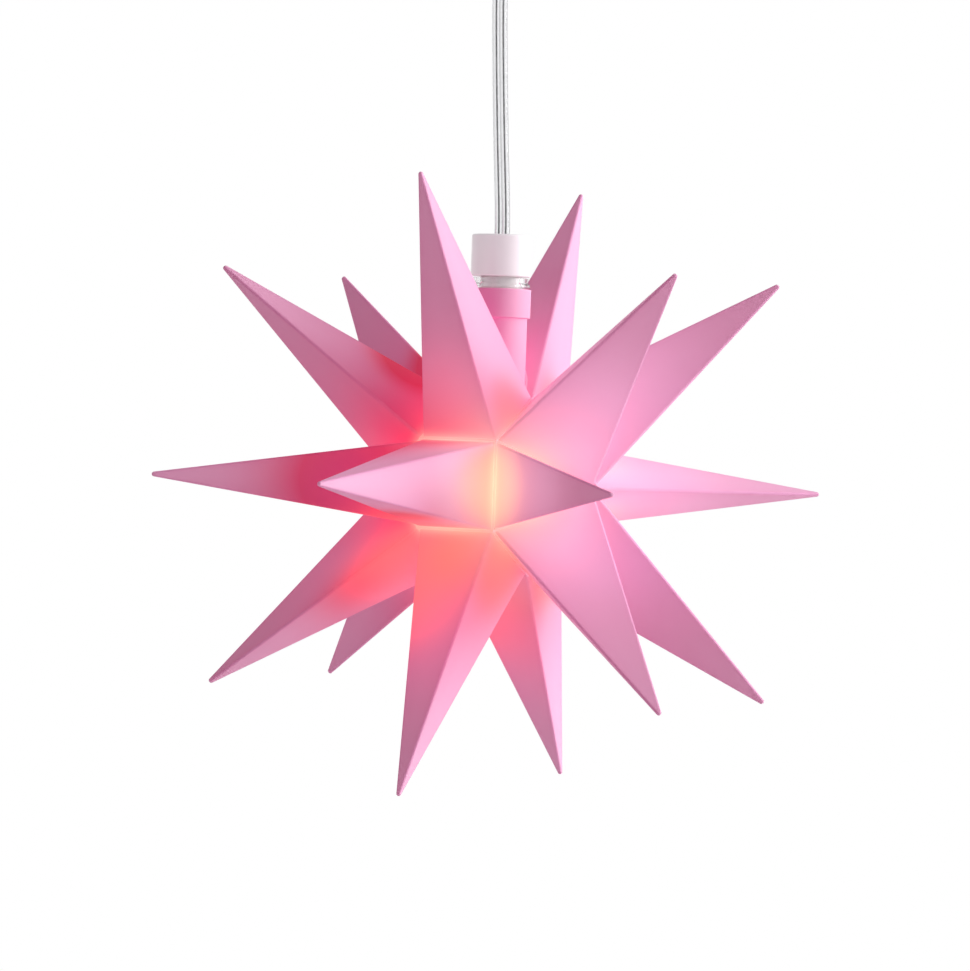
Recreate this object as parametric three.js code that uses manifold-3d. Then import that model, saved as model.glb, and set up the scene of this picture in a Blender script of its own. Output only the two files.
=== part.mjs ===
// An LED Christmas star: eighteen hollow plastic points round a hexagonal core, hung by its flat
// twin cable from a small ceiling cup. Lengths are in millimetres and +Z is up.
// The origin is the middle of the ceiling plate's top face. +X runs along the axis of the star's
// six-sided belt, -Y along its front belt point, and the neck's axis is the Z axis.

import * as THREE from "three";
import { mergeVertices } from "three/addons/utils/BufferGeometryUtils.js";
import Module from "manifold-3d";

const wasm = await Module();
wasm.setup();

const degree = Math.PI / 180;
const halfTurn = Math.PI;
const fullTurn = 2 * Math.PI;
const quarterTurn = Math.PI / 2;

// Fits
const fitGap = 0.25;
const seamGap = 0.2;
const cutOverrun = 1;

// Star core: a belt of six rectangles, closed on each side by six triangles that meet at a pole
const starRadius = 60;
const beltWidth = 14.3;
const beltRadius = 15.16;
const poleReach = 20.2;
const capTipLean = 43.8 * degree;
const beltSides = 6;
const beltStep = fullTurn / beltSides;

// Walls, ridges and tips of the hollow points
const pointWall = 0.8;
const ridgeRadius = 0.45;
const innerCornerRadius = 0.15;
const tipRadius = 0.55;
const flangeDepth = 1.2;
const ridgeSteps = 3;
const tipCornerShare = 0.85;
const domeWidthShare = 0.62;
const domeDepthShare = 0.25;

// LED, its leads, and the wires that come down to it from the cable
const ledRadius = 2.5;
const ledLength = 8.7;
const ledTipDepth = 4;
const ledRimWidth = 0.4;
const ledRimHeight = 1;
const leadSpacing = 2.54;
const leadRadius = 0.28;
const leadLength = 9.8;
const wireRadius = 0.5;
const sleeveWall = 0.25;
const sleeveLength = 9;
const sleeveLapShare = 0.45;

// Flat twin cable
const cableWidth = 2.7;
const cableThickness = 1.5;
const cableFacing = 20 * degree;
const cableEndSides = 4;

// Lamp plug, pushed into the star's neck
const plugWall = 1.15;
const plugDepth = 12;
const plugHeadHeight = 1.5;
const plugTowerHeight = 2.8;
const plugTowerStepWidth = 0.5;
const plugChamferWidth = 0.4;

// Neck of the star, with its collar
const neckRise = 33.8;
const neckWall = 1.2;
const neckCollarHeight = 5;
const neckCollarStepWidth = 0.5;
const neckEdgeWidth = 0.25;
const neckInnerLength = 0.8;

// Clear seal between the collar and the cap
const sealHeight = 1.6;
const sealLipStepWidth = 0.35;
const sealLipHeight = 0.5;
const sealEdgeWidth = 0.15;

// White cap
const capRadius = 5.18;
const capHeight = 7.2;
const capWall = 0.9;
const capRoof = 1;
const capEdgeRadius = 0.45;

// Strain relief that holds the cable inside the cap
const reliefRadius = 2.5;
const tailReach = 2.4;

// Free stretch of the cable, from the cap to the ceiling cup: places from its foot in the cap's hole
const cordSink = 0.25;
const cordRoute = [
  [0, 0, 0],
  [0, 0, 1.75],
  [-0.12, -0.06, 5.5],
  [-0.34, -0.18, 10],
  [-0.57, -0.3, 14.5],
  [-0.79, -0.41, 19],
  [-0.99, -0.52, 23.5],
  [-1.18, -0.62, 28],
  [-1.36, -0.71, 32.5],
  [-1.51, -0.79, 37],
  [-1.6, -0.84, 41.5],
  [-1.47, -0.77, 46],
  [-1.18, -0.61, 50],
  [-0.72, -0.38, 54],
  [-0.3, -0.16, 57.5],
  [-0.05, -0.03, 60.2],
  [0, 0, 62.15],
];
const cordSteps = 20;

// Swivelling cord grip: a ball with a sleeve that opens at its mouth
const ballRadius = 5;
const sleeveRadius = 2.2;
const gripSleeveLength = 9;
const ballTopShare = 0.82;
const knotRadius = 2.6;
const knotHeight = 4;

// Ceiling cup and the plate that it snaps on
const ceilingDepth = 13;
const cupRadius = 17;
const cupWall = 1.3;
const cupLipAngle = 60 * degree;
const cupShoulderRadius = 6;
const cupRimHeight = 5;
const plateThickness = 2;
const plateRimHeight = 2.2;
const plateRimWall = 1.2;
const screwHoleRadius = 1.9;
const screwHoleSpacing = 20;
const screwSinkRadius = 3.4;
const supplyHoleRadius = 2.6;
const supplyHoleOffset = 8;

// Faces of the round pieces
const fineSides = 40;
const coarseSides = 24;
const wireSides = 12;
const arcSteps = 6;

// Sizes that follow from the ones above
const plugBoreRadius = leadSpacing / 2 + wireRadius + sleeveWall + fitGap;
const plugRadius = plugBoreRadius + plugWall;
const neckBoreRadius = plugRadius + fitGap;
const neckRadius = neckBoreRadius + neckWall;
const neckCollarRadius = neckRadius + neckCollarStepWidth;
const neckFoot = beltRadius - flangeDepth - neckInnerLength;
const sealFoot = neckRise + fitGap;
const capFoot = sealFoot + sealHeight + fitGap;
const capTop = capFoot + capHeight;
const capBoreRadius = capRadius - capWall;
const cableHoleRadius = cableWidth / 2 + fitGap;
const plugFoot = neckRise - plugDepth;
const plugHeadFoot = capFoot + fitGap;
const plugTop = plugHeadFoot + plugHeadHeight + plugTowerHeight;
const reliefFoot = plugTop + fitGap;
const reliefTop = capTop - capRoof - fitGap;
const cordFoot = capTop - cordSink;
const tailTop = cordFoot - fitGap;
const tailFoot = reliefFoot - tailReach;
const ledBack = ledLength - ledTipDepth;
const leadFoot = ledBack + fitGap;
const leadTop = leadFoot + leadLength;
const wireFoot = leadTop + fitGap;
const wireTop = tailFoot - fitGap;
const sleeveBoreRadius = wireRadius + fitGap;
const sleeveFoot = wireFoot - sleeveLength * sleeveLapShare;
const mouthFoot = cordFoot + cordRoute.at(-1)[2];
const mouthRadius = cableWidth / 2 + fitGap;
const ballCentre = mouthFoot + gripSleeveLength;
const ceilingRise = ballCentre + ceilingDepth;

// Finishes
function finish(color, roughness) {
  return new THREE.MeshStandardMaterial({ color, roughness, metalness: 0 });
}
const pinkPlastic = finish(0xf0a8d0, 0.42);
const whitePlastic = finish(0xf4eef0, 0.35);
const clearPlastic = finish(0xdfe4e6, 0.12);
const milkyPlastic = finish(0xe9e4e0, 0.4);
const warmLens = finish(0xffe2b0, 0.1);
const blackSleeve = finish(0x202022, 0.6);
const clearCable = finish(0xc9ccce, 0.2);
const tinnedWire = new THREE.MeshStandardMaterial({ color: 0xb9bcc0, roughness: 0.3, metalness: 1 });

// Joining and cutting closed solids
function solidOf(geometry) {
  const bare = geometry.index ? geometry.toNonIndexed() : geometry.clone();
  bare.deleteAttribute("normal");
  bare.deleteAttribute("uv");
  const merged = mergeVertices(bare);
  return new wasm.Manifold(
    new wasm.Mesh({
      numProp: 3,
      vertProperties: merged.getAttribute("position").array,
      triVerts: new Uint32Array(merged.index.array),
    }),
  );
}

function geometryOf(solid) {
  const mesh = solid.getMesh();
  const geometry = new THREE.BufferGeometry();
  geometry.setAttribute("position", new THREE.BufferAttribute(mesh.vertProperties, 3));
  geometry.setIndex(new THREE.BufferAttribute(mesh.triVerts, 1));
  geometry.computeVertexNormals();
  return geometry;
}

function cutFrom(geometry, ...cutters) {
  const solid = cutters.reduce((rest, cutter) => rest.subtract(solidOf(cutter)), solidOf(geometry));
  return geometryOf(solid);
}

// Round pieces about the Z axis, from a profile of [radius, height] pairs
function revolve(profile, sides) {
  const points = profile.map(([radius, height]) => new THREE.Vector2(radius, height));
  return new THREE.LatheGeometry(points, sides).rotateX(quarterTurn);
}

function rod(radius, foot, top, sides) {
  return revolve([[0, foot], [radius, foot], [radius, top], [0, top]], sides);
}

function tube(bore, radius, foot, top, sides) {
  return revolve([[bore, foot], [radius, foot], [radius, top], [bore, top], [bore, foot]], sides);
}

// Points of an arc in a profile, from one angle to another, angles from +radius towards +height
function arc(centreRadius, centreHeight, radius, from, to) {
  return Array.from({ length: arcSteps + 1 }, (_, step) => {
    const angle = from + ((to - from) * step) / arcSteps;
    return [centreRadius + radius * Math.cos(angle), centreHeight + radius * Math.sin(angle)];
  });
}

// Outline of the flat cable: two half rounds, in the plane across the cable
function cableOutline(clearance, turn) {
  const radius = cableThickness / 2 + clearance;
  const offset = (cableWidth - cableThickness) / 2;
  const points = [];
  for (const side of [1, -1]) {
    for (let step = 0; step < cableEndSides; step++) {
      const angle = (step / (cableEndSides - 1)) * halfTurn - quarterTurn;
      const point = new THREE.Vector2(offset + radius * Math.cos(angle), radius * Math.sin(angle));
      points.push(point.multiplyScalar(side));
    }
  }
  return points.map((point) => point.rotateAround(new THREE.Vector2(), turn));
}

// Rounded section of a polygon, given counter-clockwise, moved inwards by an inset
function roundedRing(corners, inset, radius) {
  const ring = [];
  corners.forEach((corner, i) => {
    const toBefore = corners.at(i - 1).clone().sub(corner).normalize();
    const toAfter = corners[(i + 1) % corners.length].clone().sub(corner).normalize();
    const halfAngle = toBefore.angleTo(toAfter) / 2;
    const inward = toBefore.add(toAfter).normalize();
    const centre = corner.clone().addScaledVector(inward, (inset + radius) / Math.sin(halfAngle));
    const sweep = halfTurn - 2 * halfAngle;
    for (let step = 0; step <= ridgeSteps; step++) {
      const angle = inward.angle() + halfTurn + sweep * (step / ridgeSteps - 1 / 2);
      ring.push(new THREE.Vector2(radius, 0).rotateAround(new THREE.Vector2(), angle).add(centre));
    }
  });
  return ring;
}

// Closed skin from a first point, through rings of equal length, to a last point
function loft(first, rings, last) {
  const size = rings[0].length;
  const points = [first, ...rings.flat(), last];
  const index = [];
  for (let i = 0; i < size; i++) {
    const next = (i + 1) % size;
    index.push(0, 1 + i, 1 + next);
    for (let row = 1; row < rings.length; row++) {
      const above = 1 + (row - 1) * size;
      const below = 1 + row * size;
      index.push(above + i, below + i, below + next);
      index.push(above + i, below + next, above + next);
    }
    const end = 1 + (rings.length - 1) * size;
    index.push(points.length - 1, end + next, end + i);
  }
  const geometry = new THREE.BufferGeometry().setFromPoints(points);
  geometry.setIndex(index);
  geometry.computeVertexNormals();
  return geometry;
}

// Hollow point on a flat base polygon of the core. Its rim runs inwards as a glue flange, towards
// the star's centre, so that the flanges of two neighbours lie side by side.
function hollowPoint(baseCorners, tip) {
  const middle = new THREE.Vector3();
  baseCorners.forEach((corner) => middle.addScaledVector(corner, 1 / baseCorners.length));
  const along = baseCorners[1].clone().sub(baseCorners[0]).normalize();
  const across = baseCorners.at(-1).clone().sub(baseCorners[0]);
  const normal = along.clone().cross(across).normalize();
  const outward = normal.dot(middle) > 0;
  normal.multiplyScalar(outward ? 1 : -1);
  const up = normal.clone().cross(along);

  const flat = baseCorners.map((corner) => {
    const offset = corner.clone().sub(middle);
    return new THREE.Vector2(offset.dot(along), offset.dot(up));
  });
  if (!outward) flat.reverse();
  const area = THREE.ShapeUtils.area(flat);
  const girth = flat.reduce((sum, corner, i) => sum + corner.distanceTo(flat.at(i - 1)), 0);
  const inradius = (2 * area) / girth;

  const place = (ring, centre, share) =>
    ring.map((point) =>
      centre.clone().addScaledVector(along, point.x * share).addScaledVector(up, point.y * share),
    );
  const shrink = (ring, depth) => {
    const share = 1 - depth / normal.dot(middle);
    return ring.map((point) => point.clone().multiplyScalar(share));
  };

  const tipFlat = flat.map((corner) => corner.clone().multiplyScalar(tipRadius / inradius));
  const tipRing = roundedRing(tipFlat, 0, tipRadius * tipCornerShare);
  const shoulder = tip.clone().addScaledVector(normal, -tipRadius);
  const domeCentre = tip.clone().addScaledVector(normal, -tipRadius * domeDepthShare);
  const outerBase = place(roundedRing(flat, seamGap / 2, ridgeRadius), middle, 1);
  const innerBase = place(roundedRing(flat, seamGap / 2 + pointWall, innerCornerRadius), middle, 1);
  const hollowShare = (inradius - pointWall) / (inradius - tipRadius);
  const hollowTip = middle.clone().lerp(tip, Math.min(hollowShare, 1 - tipRadius / inradius));
  const rings = [
    place(tipRing, domeCentre, domeWidthShare),
    place(tipRing, shoulder, 1),
    outerBase,
    shrink(outerBase, flangeDepth),
    shrink(innerBase, flangeDepth),
    innerBase,
  ];
  return loft(tip, rings, hollowTip);
}

// Corner of the belt between two of its sides, on the right or the left
function beltCorner(side, index) {
  const angle = (index + 1 / 2) * beltStep;
  return new THREE.Vector3(
    (side * beltWidth) / 2,
    -beltRadius * Math.cos(angle),
    beltRadius * Math.sin(angle),
  );
}

function beltPointGeometry() {
  const corners = [beltCorner(1, -1), beltCorner(1, 0), beltCorner(-1, 0), beltCorner(-1, -1)];
  return hollowPoint(corners, new THREE.Vector3(0, -starRadius, 0));
}

function capPointGeometry() {
  const corners = [new THREE.Vector3(poleReach, 0, 0), beltCorner(1, -1), beltCorner(1, 0)];
  const tip = new THREE.Vector3(Math.cos(capTipLean), -Math.sin(capTipLean), 0);
  return hollowPoint(corners, tip.multiplyScalar(starRadius));
}

// The two upper belt points make room for the neck that passes between them
function cutForNeck(geometry, turn) {
  const foot = neckFoot - cutOverrun;
  const room = rod(neckRadius + fitGap, foot, neckRise, fineSides).rotateX(-turn);
  return cutFrom(geometry, room);
}

function named(name, geometry, material) {
  const mesh = new THREE.Mesh(geometry, material);
  mesh.name = name;
  return mesh;
}

// Star body
const sideNames = ["front", "front_upper", "back_upper", "back", "back_lower", "front_lower"];
const sidesByNeck = [1, 2];

function beltPoints() {
  const plain = beltPointGeometry();
  const group = new THREE.Group();
  sideNames.forEach((sideName, index) => {
    const turn = -index * beltStep;
    const geometry = sidesByNeck.includes(index) ? cutForNeck(plain, turn) : plain;
    const mesh = named(`belt_point_${sideName}`, geometry, pinkPlastic);
    mesh.rotation.x = turn;
    group.add(mesh);
  });
  return group;
}

// A cap's six points; the left cap is the right one turned half round the neck's axis
function capPoints(capName, turnedRound) {
  const geometry = capPointGeometry();
  const group = new THREE.Group();
  sideNames.forEach((_, index) => {
    const place = turnedRound ? beltSides / 2 - index : index;
    const sideName = sideNames[(place + beltSides) % beltSides];
    const mesh = named(`${capName}_point_${sideName}`, geometry, pinkPlastic);
    mesh.rotation.x = -index * beltStep;
    group.add(mesh);
  });
  group.rotation.z = turnedRound ? halfTurn : 0;
  return group;
}

function neckGeometry() {
  const collarFoot = neckRise - neckCollarHeight;
  return revolve(
    [
      [neckBoreRadius, neckFoot],
      [neckRadius, neckFoot],
      [neckRadius, collarFoot],
      [neckCollarRadius - neckEdgeWidth, collarFoot],
      [neckCollarRadius, collarFoot + neckEdgeWidth],
      [neckCollarRadius, neckRise - neckEdgeWidth],
      [neckCollarRadius - neckEdgeWidth, neckRise],
      [neckBoreRadius + neckEdgeWidth, neckRise],
      [neckBoreRadius, neckRise - neckEdgeWidth],
      [neckBoreRadius, neckFoot],
    ],
    fineSides,
  );
}

function starBody() {
  const group = new THREE.Group();
  group.add(beltPoints(), capPoints("right", false), capPoints("left", true));
  group.add(named("neck", neckGeometry(), pinkPlastic));
  return group;
}

// Clear seal: a ring with a lip that spreads onto the neck's collar
function sealGeometry() {
  const bore = plugRadius + fitGap;
  const radius = capRadius - sealLipStepWidth;
  const top = sealFoot + sealHeight;
  return revolve(
    [
      [bore, sealFoot],
      [radius + sealLipStepWidth - sealEdgeWidth, sealFoot],
      [radius + sealLipStepWidth, sealFoot + sealEdgeWidth],
      [radius + sealLipStepWidth, sealFoot + sealLipHeight],
      [radius, sealFoot + sealLipHeight + sealLipStepWidth],
      [radius, top],
      [bore, top],
      [bore, sealFoot],
    ],
    fineSides,
  );
}

// Lamp plug: a tube with a head that the cap grips and a tower that the strain relief stands on
function plugGeometry() {
  const headTop = plugHeadFoot + plugHeadHeight;
  return revolve(
    [
      [plugBoreRadius, plugFoot],
      [plugRadius - plugChamferWidth, plugFoot],
      [plugRadius, plugFoot + plugChamferWidth],
      [plugRadius, plugHeadFoot],
      [capBoreRadius - fitGap, plugHeadFoot],
      [capBoreRadius - fitGap, headTop],
      [plugRadius - plugTowerStepWidth, headTop],
      [plugRadius - plugTowerStepWidth, plugTop],
      [plugBoreRadius, plugTop],
      [plugBoreRadius, plugFoot],
    ],
    fineSides,
  );
}

function capGeometry() {
  const roofFoot = capTop - capRoof;
  return revolve(
    [
      [capBoreRadius, capFoot],
      [capRadius, capFoot],
      ...arc(capRadius - capEdgeRadius, capTop - capEdgeRadius, capEdgeRadius, 0, quarterTurn),
      [cableHoleRadius, capTop],
      [cableHoleRadius, roofFoot],
      [capBoreRadius, roofFoot],
      [capBoreRadius, capFoot],
    ],
    fineSides,
  );
}

function reliefGeometry() {
  const shape = new THREE.Shape();
  shape.absarc(0, 0, reliefRadius, 0, fullTurn);
  shape.holes.push(new THREE.Path(cableOutline(fitGap, cableFacing)));
  const options = { depth: reliefTop - reliefFoot, bevelEnabled: false, curveSegments: arcSteps };
  return new THREE.ExtrudeGeometry(shape, options).translate(0, 0, reliefFoot);
}

function cableTailGeometry() {
  const shape = new THREE.Shape(cableOutline(0, cableFacing));
  const options = { depth: tailTop - tailFoot, bevelEnabled: false };
  return new THREE.ExtrudeGeometry(shape, options).translate(0, 0, tailFoot);
}

function ledGeometry() {
  const domeCentre = ledRadius - ledTipDepth;
  const rimRadius = ledRadius + ledRimWidth;
  return revolve(
    [
      ...arc(0, domeCentre, ledRadius, -quarterTurn, 0),
      [ledRadius, ledBack - ledRimHeight],
      [rimRadius, ledBack - ledRimHeight],
      [rimRadius, ledBack],
      [0, ledBack],
    ],
    coarseSides,
  );
}

// Lamp: the LED on its two leads, each joined to a wire of the cable inside a shrunk sleeve
function lamp() {
  const group = new THREE.Group();
  group.add(named("led_lens", ledGeometry(), warmLens));
  const poles = new Map([["plus", 1], ["minus", -1]]);
  poles.forEach((side, pole) => {
    const lead = named(`led_lead_${pole}`, rod(leadRadius, leadFoot, leadTop, wireSides), tinnedWire);
    const wire = named(`wire_${pole}`, rod(wireRadius, wireFoot, wireTop, wireSides), clearCable);
    const sleeve = named(
      `shrink_sleeve_${pole}`,
      tube(
        sleeveBoreRadius,
        sleeveBoreRadius + sleeveWall,
        sleeveFoot,
        sleeveFoot + sleeveLength,
        wireSides,
      ),
      blackSleeve,
    );
    for (const piece of [lead, wire, sleeve]) {
      piece.position.x = (side * leadSpacing) / 2;
      group.add(piece);
    }
  });
  group.rotation.z = cableFacing;
  return group;
}

function cordGeometry() {
  const route = new THREE.CatmullRomCurve3(cordRoute.map((place) => new THREE.Vector3(...place)));
  const shape = new THREE.Shape(cableOutline(0, cableFacing));
  const options = { steps: cordSteps, extrudePath: route };
  return new THREE.ExtrudeGeometry(shape, options).translate(0, 0, cordFoot);
}

function pendant() {
  const group = new THREE.Group();
  group.add(named("cord", cordGeometry(), clearCable));
  group.add(named("cap", capGeometry(), whitePlastic));
  group.add(named("strain_relief", reliefGeometry(), milkyPlastic));
  group.add(named("cable_tail", cableTailGeometry(), clearCable));
  group.add(named("lamp_plug", plugGeometry(), milkyPlastic));
  group.add(named("clear_seal", sealGeometry(), clearPlastic));
  group.add(lamp());
  return group;
}

// Cord grip: a ball cut flat on top, with a sleeve whose mouth is a round hollow, in which the
// cable's end can lean to either side
function gripGeometry() {
  const sleeveTop = Math.acos(sleeveRadius / ballRadius);
  const ballTop = Math.asin(ballTopShare);
  return revolve(
    [
      ...arc(0, mouthFoot, mouthRadius, quarterTurn, 0),
      [sleeveRadius, mouthFoot],
      ...arc(0, ballCentre, ballRadius, -sleeveTop, 0),
      ...arc(0, ballCentre, ballRadius, 0, ballTop).slice(1),
      [0, ballCentre + ballRadius * ballTopShare],
    ],
    coarseSides,
  );
}

// Knot in the cable above the ball, as a plain rounded bulk
function knotGeometry() {
  const foot = ballCentre + ballRadius * ballTopShare + fitGap;
  return new THREE.SphereGeometry(knotRadius, coarseSides, arcSteps * 2)
    .rotateX(quarterTurn)
    .scale(1, 1, knotHeight / (2 * knotRadius))
    .translate(0, 0, foot + knotHeight / 2);
}

// Ceiling cup: a spherical seat round the ball, a flared bell and a straight rim
function cupGeometry() {
  const seatRadius = ballRadius + fitGap;
  const lip = quarterTurn - cupLipAngle;
  const rimTop = ceilingRise - fitGap;
  const shoulderCentre = rimTop - cupRimHeight;
  const floor = shoulderCentre - cupShoulderRadius;
  const shoulderAxis = cupRadius - cupShoulderRadius;
  const inner = cupShoulderRadius - cupWall;
  const lipPoint = [seatRadius * Math.cos(lip), ballCentre - seatRadius * Math.sin(lip)];
  return revolve(
    [
      lipPoint,
      [lipPoint[0] + cupWall, lipPoint[1]],
      [seatRadius + cupWall, floor - cupWall],
      [seatRadius + 2 * cupWall, floor],
      ...arc(shoulderAxis, shoulderCentre, cupShoulderRadius, -quarterTurn, 0),
      [cupRadius, rimTop],
      [cupRadius - cupWall, rimTop],
      ...arc(shoulderAxis, shoulderCentre, inner, 0, -quarterTurn),
      [seatRadius, floor + cupWall],
      ...arc(0, ballCentre, seatRadius, 0, -lip),
    ],
    fineSides,
  );
}

// Ceiling plate: a flat disc with a snap rim, two countersunk screw holes and a supply hole
function plateGeometry() {
  const plateFoot = ceilingRise - plateThickness;
  const rimRadius = cupRadius - cupWall - fitGap;
  const disc = revolve(
    [
      [0, plateFoot],
      [rimRadius - plateRimWall, plateFoot],
      [rimRadius - plateRimWall, plateFoot - plateRimHeight],
      [rimRadius, plateFoot - plateRimHeight],
      [rimRadius, ceilingRise],
      [0, ceilingRise],
    ],
    fineSides,
  );
  const foot = plateFoot - cutOverrun;
  const top = ceilingRise + cutOverrun;
  const sinkTop = plateFoot + screwSinkRadius - screwHoleRadius;
  const screwHole = revolve(
    [
      [0, foot],
      [screwSinkRadius, foot],
      [screwSinkRadius, plateFoot],
      [screwHoleRadius, sinkTop],
      [screwHoleRadius, top],
      [0, top],
    ],
    coarseSides,
  );
  const right = screwHole.clone().translate(screwHoleSpacing / 2, 0, 0);
  const left = screwHole.clone().translate(-screwHoleSpacing / 2, 0, 0);
  const supply = rod(supplyHoleRadius, foot, top, coarseSides).translate(0, supplyHoleOffset, 0);
  return cutFrom(disc, right, left, supply);
}

function ceilingFitting() {
  const group = new THREE.Group();
  group.add(named("ceiling_plate", plateGeometry(), whitePlastic));
  group.add(named("ceiling_cup", cupGeometry(), whitePlastic));
  group.add(named("cord_grip", gripGeometry(), whitePlastic));
  group.add(named("cable_knot", knotGeometry(), clearCable));
  return group;
}

const hangingStar = new THREE.Group();
hangingStar.add(ceilingFitting(), pendant(), starBody());
hangingStar.position.z = -ceilingRise;

const part = new THREE.Group();
part.add(hangingStar);

export default part;
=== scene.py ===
"""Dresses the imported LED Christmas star: hollow points, neck fitting, lamp, cable and ceiling cup."""

import logging
import math
from collections.abc import Callable, Iterable, Sequence
from dataclasses import dataclass, field
from enum import Enum
from typing import ClassVar

import bmesh
import bpy
from mathutils import Matrix, Vector


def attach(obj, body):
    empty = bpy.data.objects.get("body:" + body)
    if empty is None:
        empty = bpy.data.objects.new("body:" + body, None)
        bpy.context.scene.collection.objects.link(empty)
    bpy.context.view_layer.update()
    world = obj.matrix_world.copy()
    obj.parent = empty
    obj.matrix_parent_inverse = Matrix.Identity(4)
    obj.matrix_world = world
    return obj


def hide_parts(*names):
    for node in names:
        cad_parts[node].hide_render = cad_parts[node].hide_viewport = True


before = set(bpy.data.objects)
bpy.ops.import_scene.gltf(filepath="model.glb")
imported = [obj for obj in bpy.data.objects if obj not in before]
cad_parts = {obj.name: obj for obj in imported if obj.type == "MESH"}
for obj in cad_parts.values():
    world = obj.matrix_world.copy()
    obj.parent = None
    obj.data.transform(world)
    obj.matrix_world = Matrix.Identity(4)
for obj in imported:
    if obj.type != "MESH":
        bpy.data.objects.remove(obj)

Color = tuple[float, float, float]
Pair = tuple[float, float]
Socket = bpy.types.NodeSocket

MM = 0.001
HALF_TURN = math.pi
FULL_TURN = 2 * math.pi
QUARTER_TURN = math.pi / 2
ON_AXIS = 1e-6
STAR_CENTRE_BELOW_CEILING = 127.0
CABLE_FACING = math.radians(20.0)

log = logging.getLogger("led_christmas_star")


class Body(Enum):
    """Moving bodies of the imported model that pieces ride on."""

    CEILING = "ceiling"
    GRIP = "grip"
    PENDANT = "pendant"
    SEAL = "seal"
    STAR = "star"


class Slot(Enum):
    """Material slots of the record."""

    PINK_PLASTIC = "pink_plastic"
    CLEAR_PLASTIC = "clear_plastic"
    WHITE_PLASTIC = "white_plastic"
    MILKY_PLASTIC = "milky_plastic"
    CLEAR_CABLE = "clear_cable"
    LED_LENS = "led_lens"
    TINNED_WIRE = "tinned_wire"
    BLACK_SLEEVE = "black_sleeve"


class Edge(Enum):
    """Angle in degrees above which an edge of a finished mesh is shaded sharp."""

    SOFT = 75.0
    CRISP = 32.0


# Places


def level(angle: float) -> Vector:
    """Level direction at an angle from +X."""
    return Vector((math.cos(angle), math.sin(angle), 0))


def up_by(height: float) -> Vector:
    """Step along the upright axis."""
    return Vector((0, 0, height))


def in_frame(places: Iterable[Vector]) -> list[tuple[float, float, float]]:
    """Places in metres of the row frame, from millimetres about the star's centre."""
    return [(p.x * MM, p.y * MM, (p.z - STAR_CENTRE_BELOW_CEILING) * MM) for p in places]


def turns_of(sides: int) -> list[float]:
    """Angles of the given number of equal steps round a circle."""
    return [FULL_TURN * i / sides for i in range(sides)]


def steps_between(start: float, end: float, steps: int) -> list[float]:
    """Values at equal steps from a start to an end, with both of them."""
    return [start + (end - start) * i / steps for i in range(steps + 1)]


def eased(share: float) -> float:
    """Share that starts and ends slowly."""
    return share * share * (3 - 2 * share)


def circle(radius: float, sides: int, height: float = 0.0) -> list[Vector]:
    """Points of a level circle about the upright axis."""
    return [Vector((radius * math.cos(a), radius * math.sin(a), height)) for a in turns_of(sides)]


def round_section(side: Vector, up: Vector, radius: float, sides: int) -> list[Vector]:
    """Points of a circle that lies in the plane of two directions."""
    return [(side * math.cos(a) + up * math.sin(a)) * radius for a in turns_of(sides)]


# Node trees


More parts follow.
